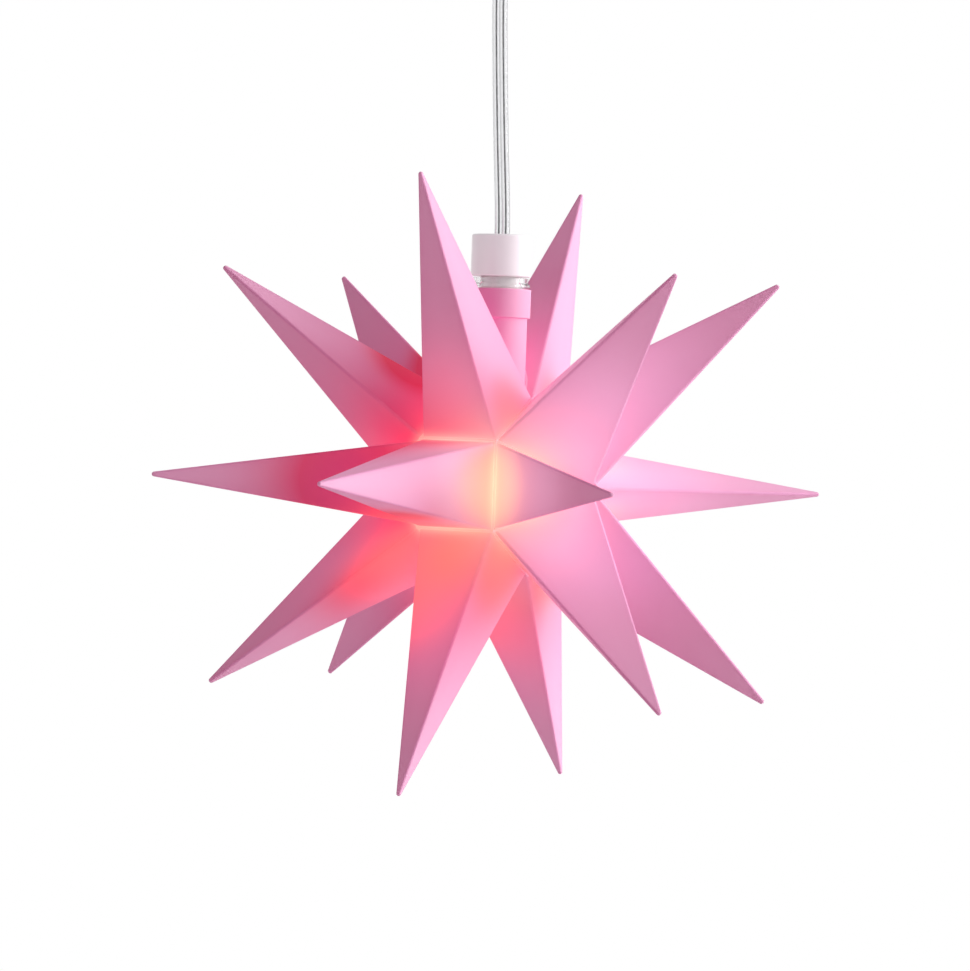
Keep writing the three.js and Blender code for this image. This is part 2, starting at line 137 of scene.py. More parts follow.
class Graph:
    """A node tree with short calls that add and join its nodes."""

    mix_inputs: ClassVar[tuple[int, int, int]] = (0, 6, 7)
    mix_result: ClassVar[int] = 2

    def __init__(self, tree: bpy.types.NodeTree) -> None:
        """Takes over a tree and empties it.

        Args:
            tree: The node tree of a material, world or group.
        """
        self.tree = tree
        tree.nodes.clear()

    def add(self, kind: str, inputs: dict | None = None, **settings: object) -> bpy.types.Node:
        """Adds a node.

        Args:
            kind: Blender's identifier of the node type.
            inputs: Socket names or numbers, with the socket to join or the value to set.
            **settings: Properties of the node.

        Returns:
            The new node.
        """
        node = self.tree.nodes.new(kind)
        for name, value in settings.items():
            setattr(node, name, value)
        for name, value in (inputs or {}).items():
            if isinstance(value, Socket):
                self.tree.links.new(value, node.inputs[name])
            else:
                node.inputs[name].default_value = value
        return node

    def math(self, operation: str, *values: Socket | float) -> Socket:
        """Result of a Math node on the given sockets or numbers."""
        inputs = dict(enumerate(values))
        return self.add("ShaderNodeMath", inputs, operation=operation).outputs[0]

    def vector(self, operation: str, *values: Socket | Sequence[float], result: str = "Vector") -> Socket:
        """Result of a Vector Math node on the given sockets or vectors."""
        inputs = dict(enumerate(values))
        return self.add("ShaderNodeVectorMath", inputs, operation=operation).outputs[result]

    def scaled(self, vector: Sequence[float], factor: Socket) -> Socket:
        """Vector or colour times a number."""
        inputs = {0: vector, "Scale": factor}
        return self.add("ShaderNodeVectorMath", inputs, operation="SCALE").outputs["Vector"]

    def blend(self, mask: Socket | float, first: Socket | Color, second: Socket | Color) -> Socket:
        """Colour between two colours.

        Args:
            mask: 0 gives the first colour and 1 the second.
            first: A colour or its socket.
            second: A colour or its socket.

        Returns:
            The mixed colour's socket.
        """
        colours = [c if isinstance(c, Socket) else (*c, 1.0) for c in (first, second)]
        inputs = dict(zip(self.mix_inputs, (mask, *colours), strict=True))
        return self.add("ShaderNodeMix", inputs, data_type="RGBA").outputs[self.mix_result]

    def between(self, value: Socket, low: float, high: float) -> Socket:
        """Share of the way from a low to a high value, eased at both ends."""
        inputs = {"Value": value, "From Min": low, "From Max": high}
        node = self.add("ShaderNodeMapRange", inputs, interpolation_type="SMOOTHSTEP")
        return node.outputs["Result"]

    def noise(self, place: Socket, scale: Socket, detail: float) -> Socket:
        """Noise from 0 to 1."""
        inputs = {"Vector": place, "Scale": scale, "Detail": detail}
        return self.add("ShaderNodeTexNoise", inputs).outputs["Fac"]

    def place(self) -> Socket:
        """Coordinates fixed to the piece, in metres of the row frame at rest."""
        return self.add("ShaderNodeTexCoord").outputs["Object"]

    def share_of(self, mask: str) -> Socket:
        """Share that the mesh carries under a name."""
        return self.add("ShaderNodeAttribute", attribute_name=mask).outputs["Fac"]

    def seen_directly(self) -> Socket:
        """1 for rays from the camera, a gloss or clear plastic, and 0 for light on surfaces."""
        path = self.add("ShaderNodeLightPath").outputs
        seen = self.math("MAXIMUM", path["Is Camera Ray"], path["Is Glossy Ray"])
        return self.math("MAXIMUM", seen, path["Is Transmission Ray"])


@dataclass(frozen=True)
class EffectGroup:
    """A shader node group that several finishes share."""

    name: str
    inputs: tuple[tuple[str, str, object], ...]
    outputs: tuple[tuple[str, str], ...]
    wire: Callable[[Graph, dict[str, Socket]], dict[str, Socket]]

    def tree(self) -> bpy.types.NodeTree:
        """Builds the group once and returns it afterwards.

        Returns:
            The group's node tree.
        """
        if self.name in bpy.data.node_groups:
            return bpy.data.node_groups[self.name]
        tree = bpy.data.node_groups.new(self.name, "ShaderNodeTree")
        for name, kind, value in self.inputs:
            socket = tree.interface.new_socket(name, in_out="INPUT", socket_type=kind)
            socket.default_value = value
        for name, kind in self.outputs:
            tree.interface.new_socket(name, in_out="OUTPUT", socket_type=kind)
        graph = Graph(tree)
        given = graph.add("NodeGroupInput")
        results = self.wire(graph, {name: given.outputs[name] for name, _, _ in self.inputs})
        graph.add("NodeGroupOutput", results)
        return tree

    def place_in(self, graph: Graph, **values: object) -> dict[str, Socket]:
        """Places the group in a material.

        Args:
            graph: The material's graph.
            **values: Input values or sockets, named with underscores for spaces.

        Returns:
            The group's outputs by name.
        """
        inputs = {name.replace("_", " "): value for name, value in values.items()}
        node = graph.add("ShaderNodeGroup", inputs, node_tree=self.tree())
        return {name: node.outputs[name] for name, _ in self.outputs}


FINE_DETAIL = 3.0
BROAD_DETAIL = 2.0
NOISE_MIDDLE = 0.5
FLOW_EDGES = (0.3, 0.7)


def wire_grain(graph: Graph, given: dict[str, Socket]) -> dict[str, Socket]:
    """Fine moulded grain with a broad flow tone from the mould's filling.

    Args:
        graph: The group's graph.
        given: Its inputs by name.

    Returns:
        Its outputs by name.
    """
    place = graph.place()
    fine = graph.noise(place, given["Grain Scale"], FINE_DETAIL)
    broad = graph.noise(place, given["Flow Scale"], BROAD_DETAIL)
    spread = graph.math("SUBTRACT", fine, NOISE_MIDDLE)
    return {
        "Height": fine,
        "Flow": graph.between(broad, *FLOW_EDGES),
        "Roughness": graph.math("MULTIPLY_ADD", spread, given["Gloss Spread"], given["Roughness"]),
    }


MOULD_GRAIN = EffectGroup(
    name="Mould Grain",
    inputs=(
        ("Grain Scale", "NodeSocketFloat", 2500.0),
        ("Flow Scale", "NodeSocketFloat", 60.0),
        ("Roughness", "NodeSocketFloat", 0.4),
        ("Gloss Spread", "NodeSocketFloat", 0.2),
    ),
    outputs=(
        ("Height", "NodeSocketFloat"),
        ("Flow", "NodeSocketFloat"),
        ("Roughness", "NodeSocketFloat"),
    ),
    wire=wire_grain,
)


@dataclass(frozen=True)
class GlowLobe:
    """A round zone of the star's skin, in millimetres, with painted glow (its colour, emitted) and painted
    shade (a red tint that darkens the base colour); together they stand in for the lamp's light through the
    skin and the shade between the points.
    """

    centre: tuple[float, float, float]
    spread: float
    color: Color = (0.0, 0.0, 0.0)
    painted_shade: float = 0.0
    edge: float = 2.0
    height: float = 1.0
    falloff: float = -0.5

    def mask(self, graph: Graph, place: Socket) -> Socket:
        """Share of the zone at a place.

        Args:
            graph: The graph to wire it in.
            place: Coordinates in metres of the row frame.

        Returns:
            The share, 1 in the zone's middle.
        """
        middle = in_frame([Vector(self.centre)])[0]
        reach = self.spread * MM
        offset = graph.vector("SUBTRACT", place, middle)
        offset = graph.vector("DIVIDE", offset, (reach, reach, reach * self.height))
        distance = graph.vector("LENGTH", offset, result="Value")
        power = graph.math("POWER", distance, self.edge)
        return graph.math("EXPONENT", graph.math("MULTIPLY", power, self.falloff))


# Painted glow: an even emission over the pink skin that stands in for light through the translucent plastic.
SKIN_LIGHT: Color = (0.14, 0.0, 0.04)
# Zones of painted glow and painted shade on the star's skin. Some zones are only a painted shade tint, and
# the crisp-edged ones stand for shadows that the studio lamps cast between the points.
GLOW_LOBES: dict[str, GlowLobe] = {
    "whole star": GlowLobe((0, 0, 0), 32, (0.1, 0.0, 0.02), painted_shade=0.1),
    "right of the lamp": GlowLobe((8, -8, 0), 8, (0.4, 0.3, 0.1)),
    "front valley": GlowLobe((7.6, -13.3, 0), 9, (0.22, 0.17, 0.07), painted_shade=0.35, edge=5, height=0.65),
    "front point": GlowLobe((8, -24, 0), 5, (0.15, 0.2, 0.2)),
    "right front point": GlowLobe((23, -25, 0), 6, (0.08, 0.08, 0.1)),
    "upper right point": GlowLobe((24, -8, 14), 10, (0.12, 0.12, 0.16)),
    "lower right point": GlowLobe((24, -8, -8), 8, (0.04, 0.05, 0.1)),
    "upper front valley": GlowLobe((3, -8, 14), 5, (0.06, 0.02, 0.0), painted_shade=0.35, edge=4),
    "upper front point": GlowLobe((0, -17, 17), 6, (0.18, 0.03, 0.04)),
    "upper left valley": GlowLobe((-8, -8, 8), 8, (0.2, 0.0, 0.0), painted_shade=0.4),
    "upper left point": GlowLobe((-15, -2, 22), 7, painted_shade=1.2, edge=4),
    "left front point": GlowLobe((-16, -24, 0), 8, (0.0, 0.0, 0.05), painted_shade=1.5),
    "left pole": GlowLobe((-24, -8, 0), 5, (0.3, 0.1, 0.15), painted_shade=1.2),
    "lower left valley": GlowLobe((-8, -16, -16), 9, (1.0, 0.12, 0.08), painted_shade=0.7, edge=3),
    "lower left point": GlowLobe((-16, -16, -24), 5, (0.0, 0.0, 0.05), painted_shade=1.4),
    "lower front valley": GlowLobe((3, -9, -14), 7, (0.08, 0.06, 0.0), painted_shade=0.4, edge=4),
    "lower front point": GlowLobe((0, -20, -27), 8, (0.15, 0.0, 0.03)),
    "lower back point": GlowLobe((0, -7, -25), 7, (0.15, 0.0, 0.0), painted_shade=0.2),
    "under the front point": GlowLobe((-1, -28, -9), 4, painted_shade=1.3),
}
# Painted glow along the seams between the points, for light leaking out there.
SEAM_LOBE = GlowLobe((-4, -14, 0), 7, (0.62, 0.5, 0.3))


def wire_glow(graph: Graph, given: dict[str, Socket]) -> dict[str, Socket]:
    """Painted glow and painted shade in round zones fixed to the star, alike in front and behind: emitted
    colour for the lamp's light through the skin, and a red tint of the base colour for shade.

    Args:
        graph: The group's graph.
        given: Its inputs by name.

    Returns:
        Its outputs by name.
    """
    axes = graph.add("ShaderNodeSeparateXYZ", {0: graph.place()}).outputs
    depth = graph.math("MULTIPLY", graph.math("ABSOLUTE", axes["Y"]), -1.0)
    place = graph.add("ShaderNodeCombineXYZ", {"X": axes["X"], "Y": depth, "Z": axes["Z"]}).outputs[0]
    glow = given["Skin Light"]
    painted_shade: Socket | float = 0.0
    for lobe in GLOW_LOBES.values():
        mask = lobe.mask(graph, place)
        glow = graph.vector("ADD", glow, graph.scaled(lobe.color, mask))
        painted_shade = graph.math("MULTIPLY_ADD", mask, lobe.painted_shade, painted_shade)
    leak = graph.math("MULTIPLY", SEAM_LOBE.mask(graph, place), given["Leak"])
    glow = graph.vector("ADD", glow, graph.scaled(SEAM_LOBE.color, leak))
    return {"Glow": glow, "Warmth": graph.math("MINIMUM", painted_shade, 1.0)}


LAMP_GLOW = EffectGroup(
    name="Lamp Glow",
    inputs=(
        ("Skin Light", "NodeSocketColor", (*SKIN_LIGHT, 1.0)),
        ("Leak", "NodeSocketFloat", 0.0),
    ),
    outputs=(("Glow", "NodeSocketColor"), ("Warmth", "NodeSocketFloat")),
    wire=wire_glow,
)


# Finishes


@dataclass(frozen=True, kw_only=True)
class Finish:
    """A surface of two tones that flow into each other, with fine grain in its gloss and relief."""

    name: str
    color: Color
    flow_color: Color
    roughness: float
    gloss_spread: float = 0.2
    grain_scale: float = 2500.0
    grain_depth: float = 0.002
    flow_scale: float = 60.0

    def material(self) -> bpy.types.Material:
        """Builds the material once and returns it afterwards.

        Returns:
            The finish's material.
        """
        if self.name in bpy.data.materials:
            return bpy.data.materials[self.name]
        material = bpy.data.materials.new(self.name)
        material.use_nodes = True
        graph = Graph(material.node_tree)
        shader = graph.add("ShaderNodeBsdfPrincipled", self.inputs(graph)).outputs[0]
        graph.add("ShaderNodeOutputMaterial", {"Surface": self.shown(graph, shader)})
        return material

    def inputs(self, graph: Graph) -> dict[str, object]:
        """Wires the grain and gives the shader's inputs.

        Args:
            graph: The material's graph.

        Returns:
            Sockets and values by the names of the shader's inputs.
        """
        grain = MOULD_GRAIN.place_in(
            graph,
            Grain_Scale=self.grain_scale,
            Flow_Scale=self.flow_scale,
            Roughness=self.roughness,
            Gloss_Spread=self.gloss_spread,
        )
        relief = {"Strength": 1.0, "Distance": self.grain_depth * MM, "Height": grain["Height"]}
        return {
            "Base Color": graph.blend(grain["Flow"], self.color, self.flow_color),
            "Roughness": grain["Roughness"],
            "Normal": graph.add("ShaderNodeBump", relief).outputs["Normal"],
        }

    def shown(self, graph: Graph, shader: Socket) -> Socket:
        """Shader that the material shows, here the plain one."""
        return shader


@dataclass(frozen=True, kw_only=True)
class PlasticFinish(Finish):
    """Moulded plastic with a painted ridge tone (painted shade on the pink skin), and light of its own (the
    LED phosphor's, and painted glow on the cap and plug) or painted glow and painted shade from the star's
    lamp zones.
    """

    painted_ridge_color: Color
    painted_ridge_share: float = 0.5
    grain_scale: float = 4000.0
    grain_depth: float = 0.0015
    coat: float = 0.0
    coat_roughness: float = 0.2
    gloss: float = 0.5
    lamp_behind: bool = False
    painted_shade_color: Color = (0.0, 0.0, 0.0)
    light: Color = (0.0, 0.0, 0.0)
    light_strength: float = 0.0

    def inputs(self, graph: Graph) -> dict[str, object]:
        """Adds the painted ridge tone, the coat, and the light: emission, with painted glow and a painted
        shade tint where the star's lamp zones lie behind.

        Args:
            graph: The material's graph.

        Returns:
            Sockets and values by the names of the shader's inputs.
        """
        inputs = super().inputs(graph)
        # Painted shade along the ridges: the ridge share blends the base colour towards the painted ridge
        # colour.
        ridge = graph.math("MULTIPLY", graph.share_of("ridge"), self.painted_ridge_share)
        tone = graph.blend(ridge, inputs["Base Color"], self.painted_ridge_color)
        light: Socket | tuple[float, ...] = (*self.light, 1.0)
        # Painted glow and painted shade from the lamp zones: their glow is emitted, and their painted shade
        # tints the base colour red.
        if self.lamp_behind:
            seam = graph.share_of("seam")
            lamp = LAMP_GLOW.place_in(graph, Leak=graph.math("MULTIPLY", seam, seam))
            tone = graph.blend(lamp["Warmth"], tone, self.painted_shade_color)
            light = lamp["Glow"]
        return inputs | {
            "Base Color": tone,
            "Coat Weight": self.coat,
            "Coat Roughness": self.coat_roughness,
            "Specular IOR Level": self.gloss,
            "Emission Color": light,
            "Emission Strength": self.light_strength,
        }


@dataclass(frozen=True, kw_only=True)
class ClearFinish(Finish):
    """Clear plastic with a faint haze, with painted shade where it turns away from the eye."""

    clearness: float
    refraction: float = 1.46
    edge_shade_color: Color = (0.9, 0.9, 0.9)
    edge_blend: float = 0.3
    gloss_spread: float = 0.1
    grain_depth: float = 0.003
    flow_scale: float = 300.0

    def inputs(self, graph: Graph) -> dict[str, object]:
        """Adds the clearness and the painted shade at the edges.

        Args:
            graph: The material's graph.

        Returns:
            Sockets and values by the names of the shader's inputs.
        """
        inputs = super().inputs(graph)
        # Painted shade: the base colour turns towards the edge shade colour where the surface turns away
        # from the eye.
        facing = graph.add("ShaderNodeLayerWeight", {"Blend": self.edge_blend}).outputs["Facing"]
        return inputs | {
            "Base Color": graph.blend(facing, inputs["Base Color"], self.edge_shade_color),
            "IOR": self.refraction,
            "Transmission Weight": self.clearness,
        }


@dataclass(frozen=True, kw_only=True)
class MetalFinish(Finish):
    """Drawn metal with fine streaks and a little dulling."""

    grain_scale: float = 9000.0
    flow_scale: float = 900.0

    def inputs(self, graph: Graph) -> dict[str, object]:
        """Makes the surface metallic."""
        return super().inputs(graph) | {"Metallic": 1.0}


@dataclass(frozen=True, kw_only=True)
class FloorFinish(Finish):
    """Pale floor paint that shows paler than it is lit, and keeps the shadow on it."""

    grain_scale: float = 400.0
    grain_depth: float = 0.05
    flow_scale: float = 6.0
    white: Color = (0.9, 0.9, 0.9)
    white_share: float = 0.6

    def shown(self, graph: Graph, shader: Socket) -> Socket:
        """Mixes the paint with plain white for the eye."""
        white = graph.add("ShaderNodeEmission", {"Color": (*self.white, 1.0)}).outputs[0]
        share = graph.math("MULTIPLY", graph.seen_directly(), self.white_share)
        return graph.add("ShaderNodeMixShader", {0: share, 1: shader, 2: white}).outputs[0]


# Pink skin: painted shade along the ridges, and painted glow and painted shade from the lamp zones.
PINK = PlasticFinish(
    name="pink_satin_plastic",
    color=(0.87, 0.545, 0.74),
    flow_color=(0.855, 0.53, 0.725),
    painted_ridge_color=(0.66, 0.33, 0.55),
    roughness=0.5,
    gloss=0.15,
    painted_ridge_share=0.6,
    lamp_behind=True,
    painted_shade_color=(0.84, 0.14, 0.12),
    light_strength=1.0,
)
WHITE = PlasticFinish(
    name="white_satin_plastic",
    color=(0.86, 0.8, 0.835),
    flow_color=(0.84, 0.775, 0.815),
    painted_ridge_color=(0.95, 0.93, 0.94),
    roughness=0.35,
    coat=0.15,
)
# White cap with painted glow: an even emission that lightens it, standing in for light scattered through the
# translucent plastic.
CAP_WHITE = PlasticFinish(
    name="cap_white_plastic",
    color=(0.72, 0.65, 0.69),
    flow_color=(0.7, 0.63, 0.67),
    painted_ridge_color=(0.86, 0.82, 0.84),
    roughness=0.35,
    coat=0.1,
    light=(1.0, 0.93, 0.97),
    light_strength=0.31,
)
# Milky plastic with painted glow: an even emission that lightens the plug and clamp, standing in for the
# lamp's light carried through them.
MILKY = PlasticFinish(
    name="milky_plastic",
    color=(0.8, 0.77, 0.79),
    flow_color=(0.76, 0.73, 0.75),
    painted_ridge_color=(0.88, 0.87, 0.87),
    roughness=0.4,
    light=(1.0, 0.95, 0.96),
    light_strength=0.35,
)
SLEEVE = PlasticFinish(
    name="black_shrink_sleeve",
    color=(0.018, 0.018, 0.02),
    flow_color=(0.03, 0.03, 0.033),
    painted_ridge_color=(0.09, 0.09, 0.095),
    roughness=0.55,
    grain_scale=8333.333,
    grain_depth=0.012,
)
PHOSPHOR = PlasticFinish(
    name="led_phosphor",
    color=(0.9, 0.66, 0.2),
    flow_color=(0.92, 0.7, 0.26),
    painted_ridge_color=(0.95, 0.8, 0.4),
    roughness=0.5,
    light=(1.0, 0.72, 0.38),
    light_strength=6.0,
)
CLEAR = ClearFinish(
    name="clear_seal_plastic",
    color=(0.97, 0.98, 0.985),
    flow_color=(0.93, 0.94, 0.95),
    roughness=0.08,
    clearness=0.95,
)
# Cable jacket with strong painted shade at its sides, for the dark edges that refraction gives a clear
# cable.
JACKET = ClearFinish(
    name="clear_cable_jacket",
    color=(0.93, 0.93, 0.94),
    flow_color=(0.88, 0.88, 0.9),
    roughness=0.1,
    clearness=0.95,
    edge_shade_color=(0.3, 0.3, 0.32),
    edge_blend=0.7,
)
LENS = ClearFinish(
    name="led_lens_resin",
    color=(1.0, 0.97, 0.9),
    flow_color=(1.0, 0.94, 0.84),
    roughness=0.04,
    clearness=0.97,
    refraction=1.52,
)
STRAND = MetalFinish(
    name="cable_strand_copper",
    color=(0.2, 0.2, 0.205),
    flow_color=(0.12, 0.12, 0.125),
    roughness=0.35,
)
TINNED = MetalFinish(
    name="tinned_copper",
    color=(0.42, 0.42, 0.43),
    flow_color=(0.26, 0.26, 0.27),
    roughness=0.3,
)
FLOOR_PAINT = FloorFinish(
    name="pale_floor",
    color=(0.9, 0.9, 0.9),
    flow_color=(0.88, 0.88, 0.885),
    roughness=0.8,
)


# Meshes


@dataclass
class Shell:
    """Points and faces of one piece while it is made, in millimetres from the star's centre."""

    points: list[Vector] = field(default_factory=list)
    faces: list[tuple[int, ...]] = field(default_factory=list)
    ridges: list[float] = field(default_factory=list)
    seams: list[float] = field(default_factory=list)
    normal_weight: ClassVar[int] = 80

    def ring(
        self, points: Iterable[Vector], ridges: Iterable[float] | float = 0.0, seam: float = 0.0
    ) -> range:
        """Adds a ring of points.

        Args:
            points: The ring's places.
            ridges: Share of painted ridge shade for each point, or one share for all.
            seam: Share of painted glow for the light that leaks out at a seam.

        Returns:
            The points' numbers.
        """
        start = len(self.points)
        self.points.extend(points)
        count = len(self.points) - start
        self.ridges.extend([ridges] * count if isinstance(ridges, float) else ridges)
        self.seams.extend([seam] * count)
        return range(start, start + count)

    def stack(self, rings: Sequence[range], closed: bool = False) -> None:
        """Joins rings of equal length with bands of four-sided faces.

        Args:
            rings: The rings' numbers, in order.
            closed: True where the last ring joins the first one.
        """
        following = [*rings[1:], rings[0]] if closed else rings[1:]
        for first, second in zip(rings, following, strict=False):
            for i in range(len(first)):
                j = (i + 1) % len(first)
                self.faces.append((first[i], first[j], second[j], second[i]))

    def fan(self, apex: Vector, ring: range, ridge: float = 0.0, flip: bool = False) -> None:
        """Closes a ring with three-sided faces to one point.

        Args:
            apex: Place of the point.
            ring: Numbers of the ring's points.
            ridge: Share of painted ridge shade at the point.
            flip: True where the faces look the other way.
        """
        tip = self.ring([apex], ridge)[0]
        for i in range(len(ring)):
            pair = (ring[i], ring[(i + 1) % len(ring)])
            self.faces.append((tip, *(pair[::-1] if flip else pair)))

    def tube(self, path: Sequence[Vector], sections: Sequence[Sequence[Vector]], closed: bool) -> None:
        """Adds a closed skin through sections that stand along a path.

        Args:
            path: Centre of each section.
            sections: Points of each section, as offsets from its centre.
            closed: True where the last section joins the first one.
        """
        rings = [
            self.ring([centre + offset for offset in section])
            for centre, section in zip(path, sections, strict=True)
        ]
        self.stack(rings, closed)
        if not closed:
            self.fan(path[0], rings[0], flip=True)
            self.fan(path[-1], rings[-1])

    def rod(self, path: Sequence[Vector], section: Sequence[Vector]) -> "Shell":
        """Adds a skin of one section along a path, and returns the shell."""
        self.tube(path, [section] * len(path), closed=False)
        return self

    def mesh(self, name: str) -> bpy.types.Mesh:
        """Blender mesh of the shell with its faces turned outwards.

        Args:
            name: The mesh's name.

        Returns:
            The new mesh.
        """
        mesh = bpy.data.meshes.new(name)
        mesh.from_pydata(in_frame(self.points), [], self.faces)
        mesh.update()
        for mask, shares in (("ridge", self.ridges), ("seam", self.seams)):
            mesh.attributes.new(mask, "FLOAT", "POINT").data.foreach_set("value", shares)
        work = bmesh.new()
        work.from_mesh(mesh)
        bmesh.ops.recalc_face_normals(work, faces=work.faces)
        work.to_mesh(mesh)
        work.free()
        return mesh

    def finish(
        self,
        name: str,
        body: Body,
        slot: Slot,
        look: Finish,
        edge: Edge = Edge.CRISP,
        node: str = "",
        cutters: Sequence["Shell"] = (),
    ) -> bpy.types.Object:
        """Makes the piece's object, dresses, smooths and cuts it, and lets it ride.

        Args:
            name: The piece's name.
            body: Body that it rides on.
            slot: Material slot of the record; not used.
            look: Finish of its surface.
            edge: How its edges are shaded.
            node: CAD node that it stands for, if any.
            cutters: Closed shells whose space is taken out of it.

        Returns:
            The new object.
        """
        piece = add_object(name, self.mesh(name))
        piece.data.materials.append(look.material())
        piece.data.shade_smooth()
        for cutter in cutters:
            cut_away(piece, cutter)
        piece.data.set_sharp_from_angle(angle=math.radians(edge.value))
        even = piece.modifiers.new("even_normals", "WEIGHTED_NORMAL")
        even.keep_sharp = True
        even.weight = self.normal_weight
        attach(piece, body.value)
        if node:
            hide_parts(node)
        return piece


def add_object(name: str, data: bpy.types.ID) -> bpy.types.Object:
    """Puts a mesh, lamp or camera into the scene."""
    thing = bpy.data.objects.new(name, data)
    bpy.context.scene.collection.objects.link(thing)
    return thing


def cut_away(piece: bpy.types.Object, cutter: Shell) -> None:
    """Takes a closed cutter's space out of a piece.

    Args:
        piece: The piece to cut.
        cutter: Shell of the space.
    """
    tool = add_object("cutter", cutter.mesh("cutter"))
    cut = piece.modifiers.new("cut", "BOOLEAN")
    cut.object = tool
    cut.solver = "EXACT"
    depsgraph = bpy.context.evaluated_depsgraph_get()
    piece.data = bpy.data.meshes.new_from_object(piece.evaluated_get(depsgraph))
    piece.modifiers.remove(cut)
    bpy.data.objects.remove(tool)


@dataclass(frozen=True)
class Corner:
    """Corner of a turned piece's profile, with the radius that rounds it, in millimetres."""

    radius: float
    height: float
    fillet: float = 0.0
    steps: ClassVar[int] = 6

    def rounded(self, before: "Corner", after: "Corner") -> list[Pair]:
        """Rounds the corner off.

        Args:
            before: The corner before it.
            after: The corner after it.

        Returns:
            Pairs of radius and height.
        """
        if not self.fillet:
            return [(self.radius, self.height)]
        here = Vector((self.radius, self.height))
        back = (Vector((before.radius, before.height)) - here).normalized()
        ahead = (Vector((after.radius, after.height)) - here).normalized()
        half = back.angle(ahead) / 2
        reach = self.fillet / math.tan(half)
        centre = here + (back + ahead).normalized() * (self.fillet / math.sin(half))
        start, end = here + back * reach - centre, here + ahead * reach - centre
        places = []
        for step in range(self.steps + 1):
            spoke = start.lerp(end, step / self.steps).normalized()
            places.append(centre + spoke * self.fillet)
        return [(place.x, place.y) for place in places]


def turned(
    corners: Sequence[Corner], sides: int = 96, axis: Vector | None = None, into: Shell | None = None
) -> Shell:
    """Turned piece about an upright axis.

    Args:
        corners: Corners of its profile. It starts and ends on the axis, or is a closed loop.
        sides: Faces round the piece.
        axis: Where the axis stands, or None for the star's own.
        into: Shell that takes the piece, or None for a new one.

    Returns:
        The piece's shell.
    """
    following = [*corners[1:], corners[0]]
    profile: list[Pair] = []
    for i, corner in enumerate(corners):
        profile += corner.rounded(corners[i - 1], following[i])
    shell = into or Shell()
    foot = axis or Vector((0, 0, 0))
    solid = profile[0][0] < ON_AXIS
    rows = profile[1:-1] if solid else profile
    rings = [shell.ring([foot + p for p in circle(radius, sides, height)]) for radius, height in rows]
    shell.stack(rings, closed=not solid)
    if solid:
        shell.fan(foot + up_by(profile[0][1]), rings[0], flip=True)
        shell.fan(foot + up_by(profile[-1][1]), rings[-1])
    return shell


def arc_profile(
    radius: float, height: float, size: float, start: float, end: float, steps: int
) -> list[Corner]:
    """Round stretch of a turned piece's profile.

    Args:
        radius: Distance of the arc's centre from the axis.
        height: Height of the arc's centre.
        size: The arc's own radius.
        start: First angle in degrees, from outwards towards up.
        end: Last angle in degrees.
        steps: Steps of the arc.

    Returns:
        Corners along the arc.
    """
    angles = [math.radians(angle) for angle in steps_between(start, end, steps)]
    return [Corner(max(0.0, radius + size * math.cos(a)), height + size * math.sin(a)) for a in angles]


def column(radius: float, foot: float, top: float) -> list[Corner]:
    """Profile of a plain round column."""
    return [Corner(0.0, foot), Corner(radius, foot), Corner(radius, top), Corner(0.0, top)]


# The star


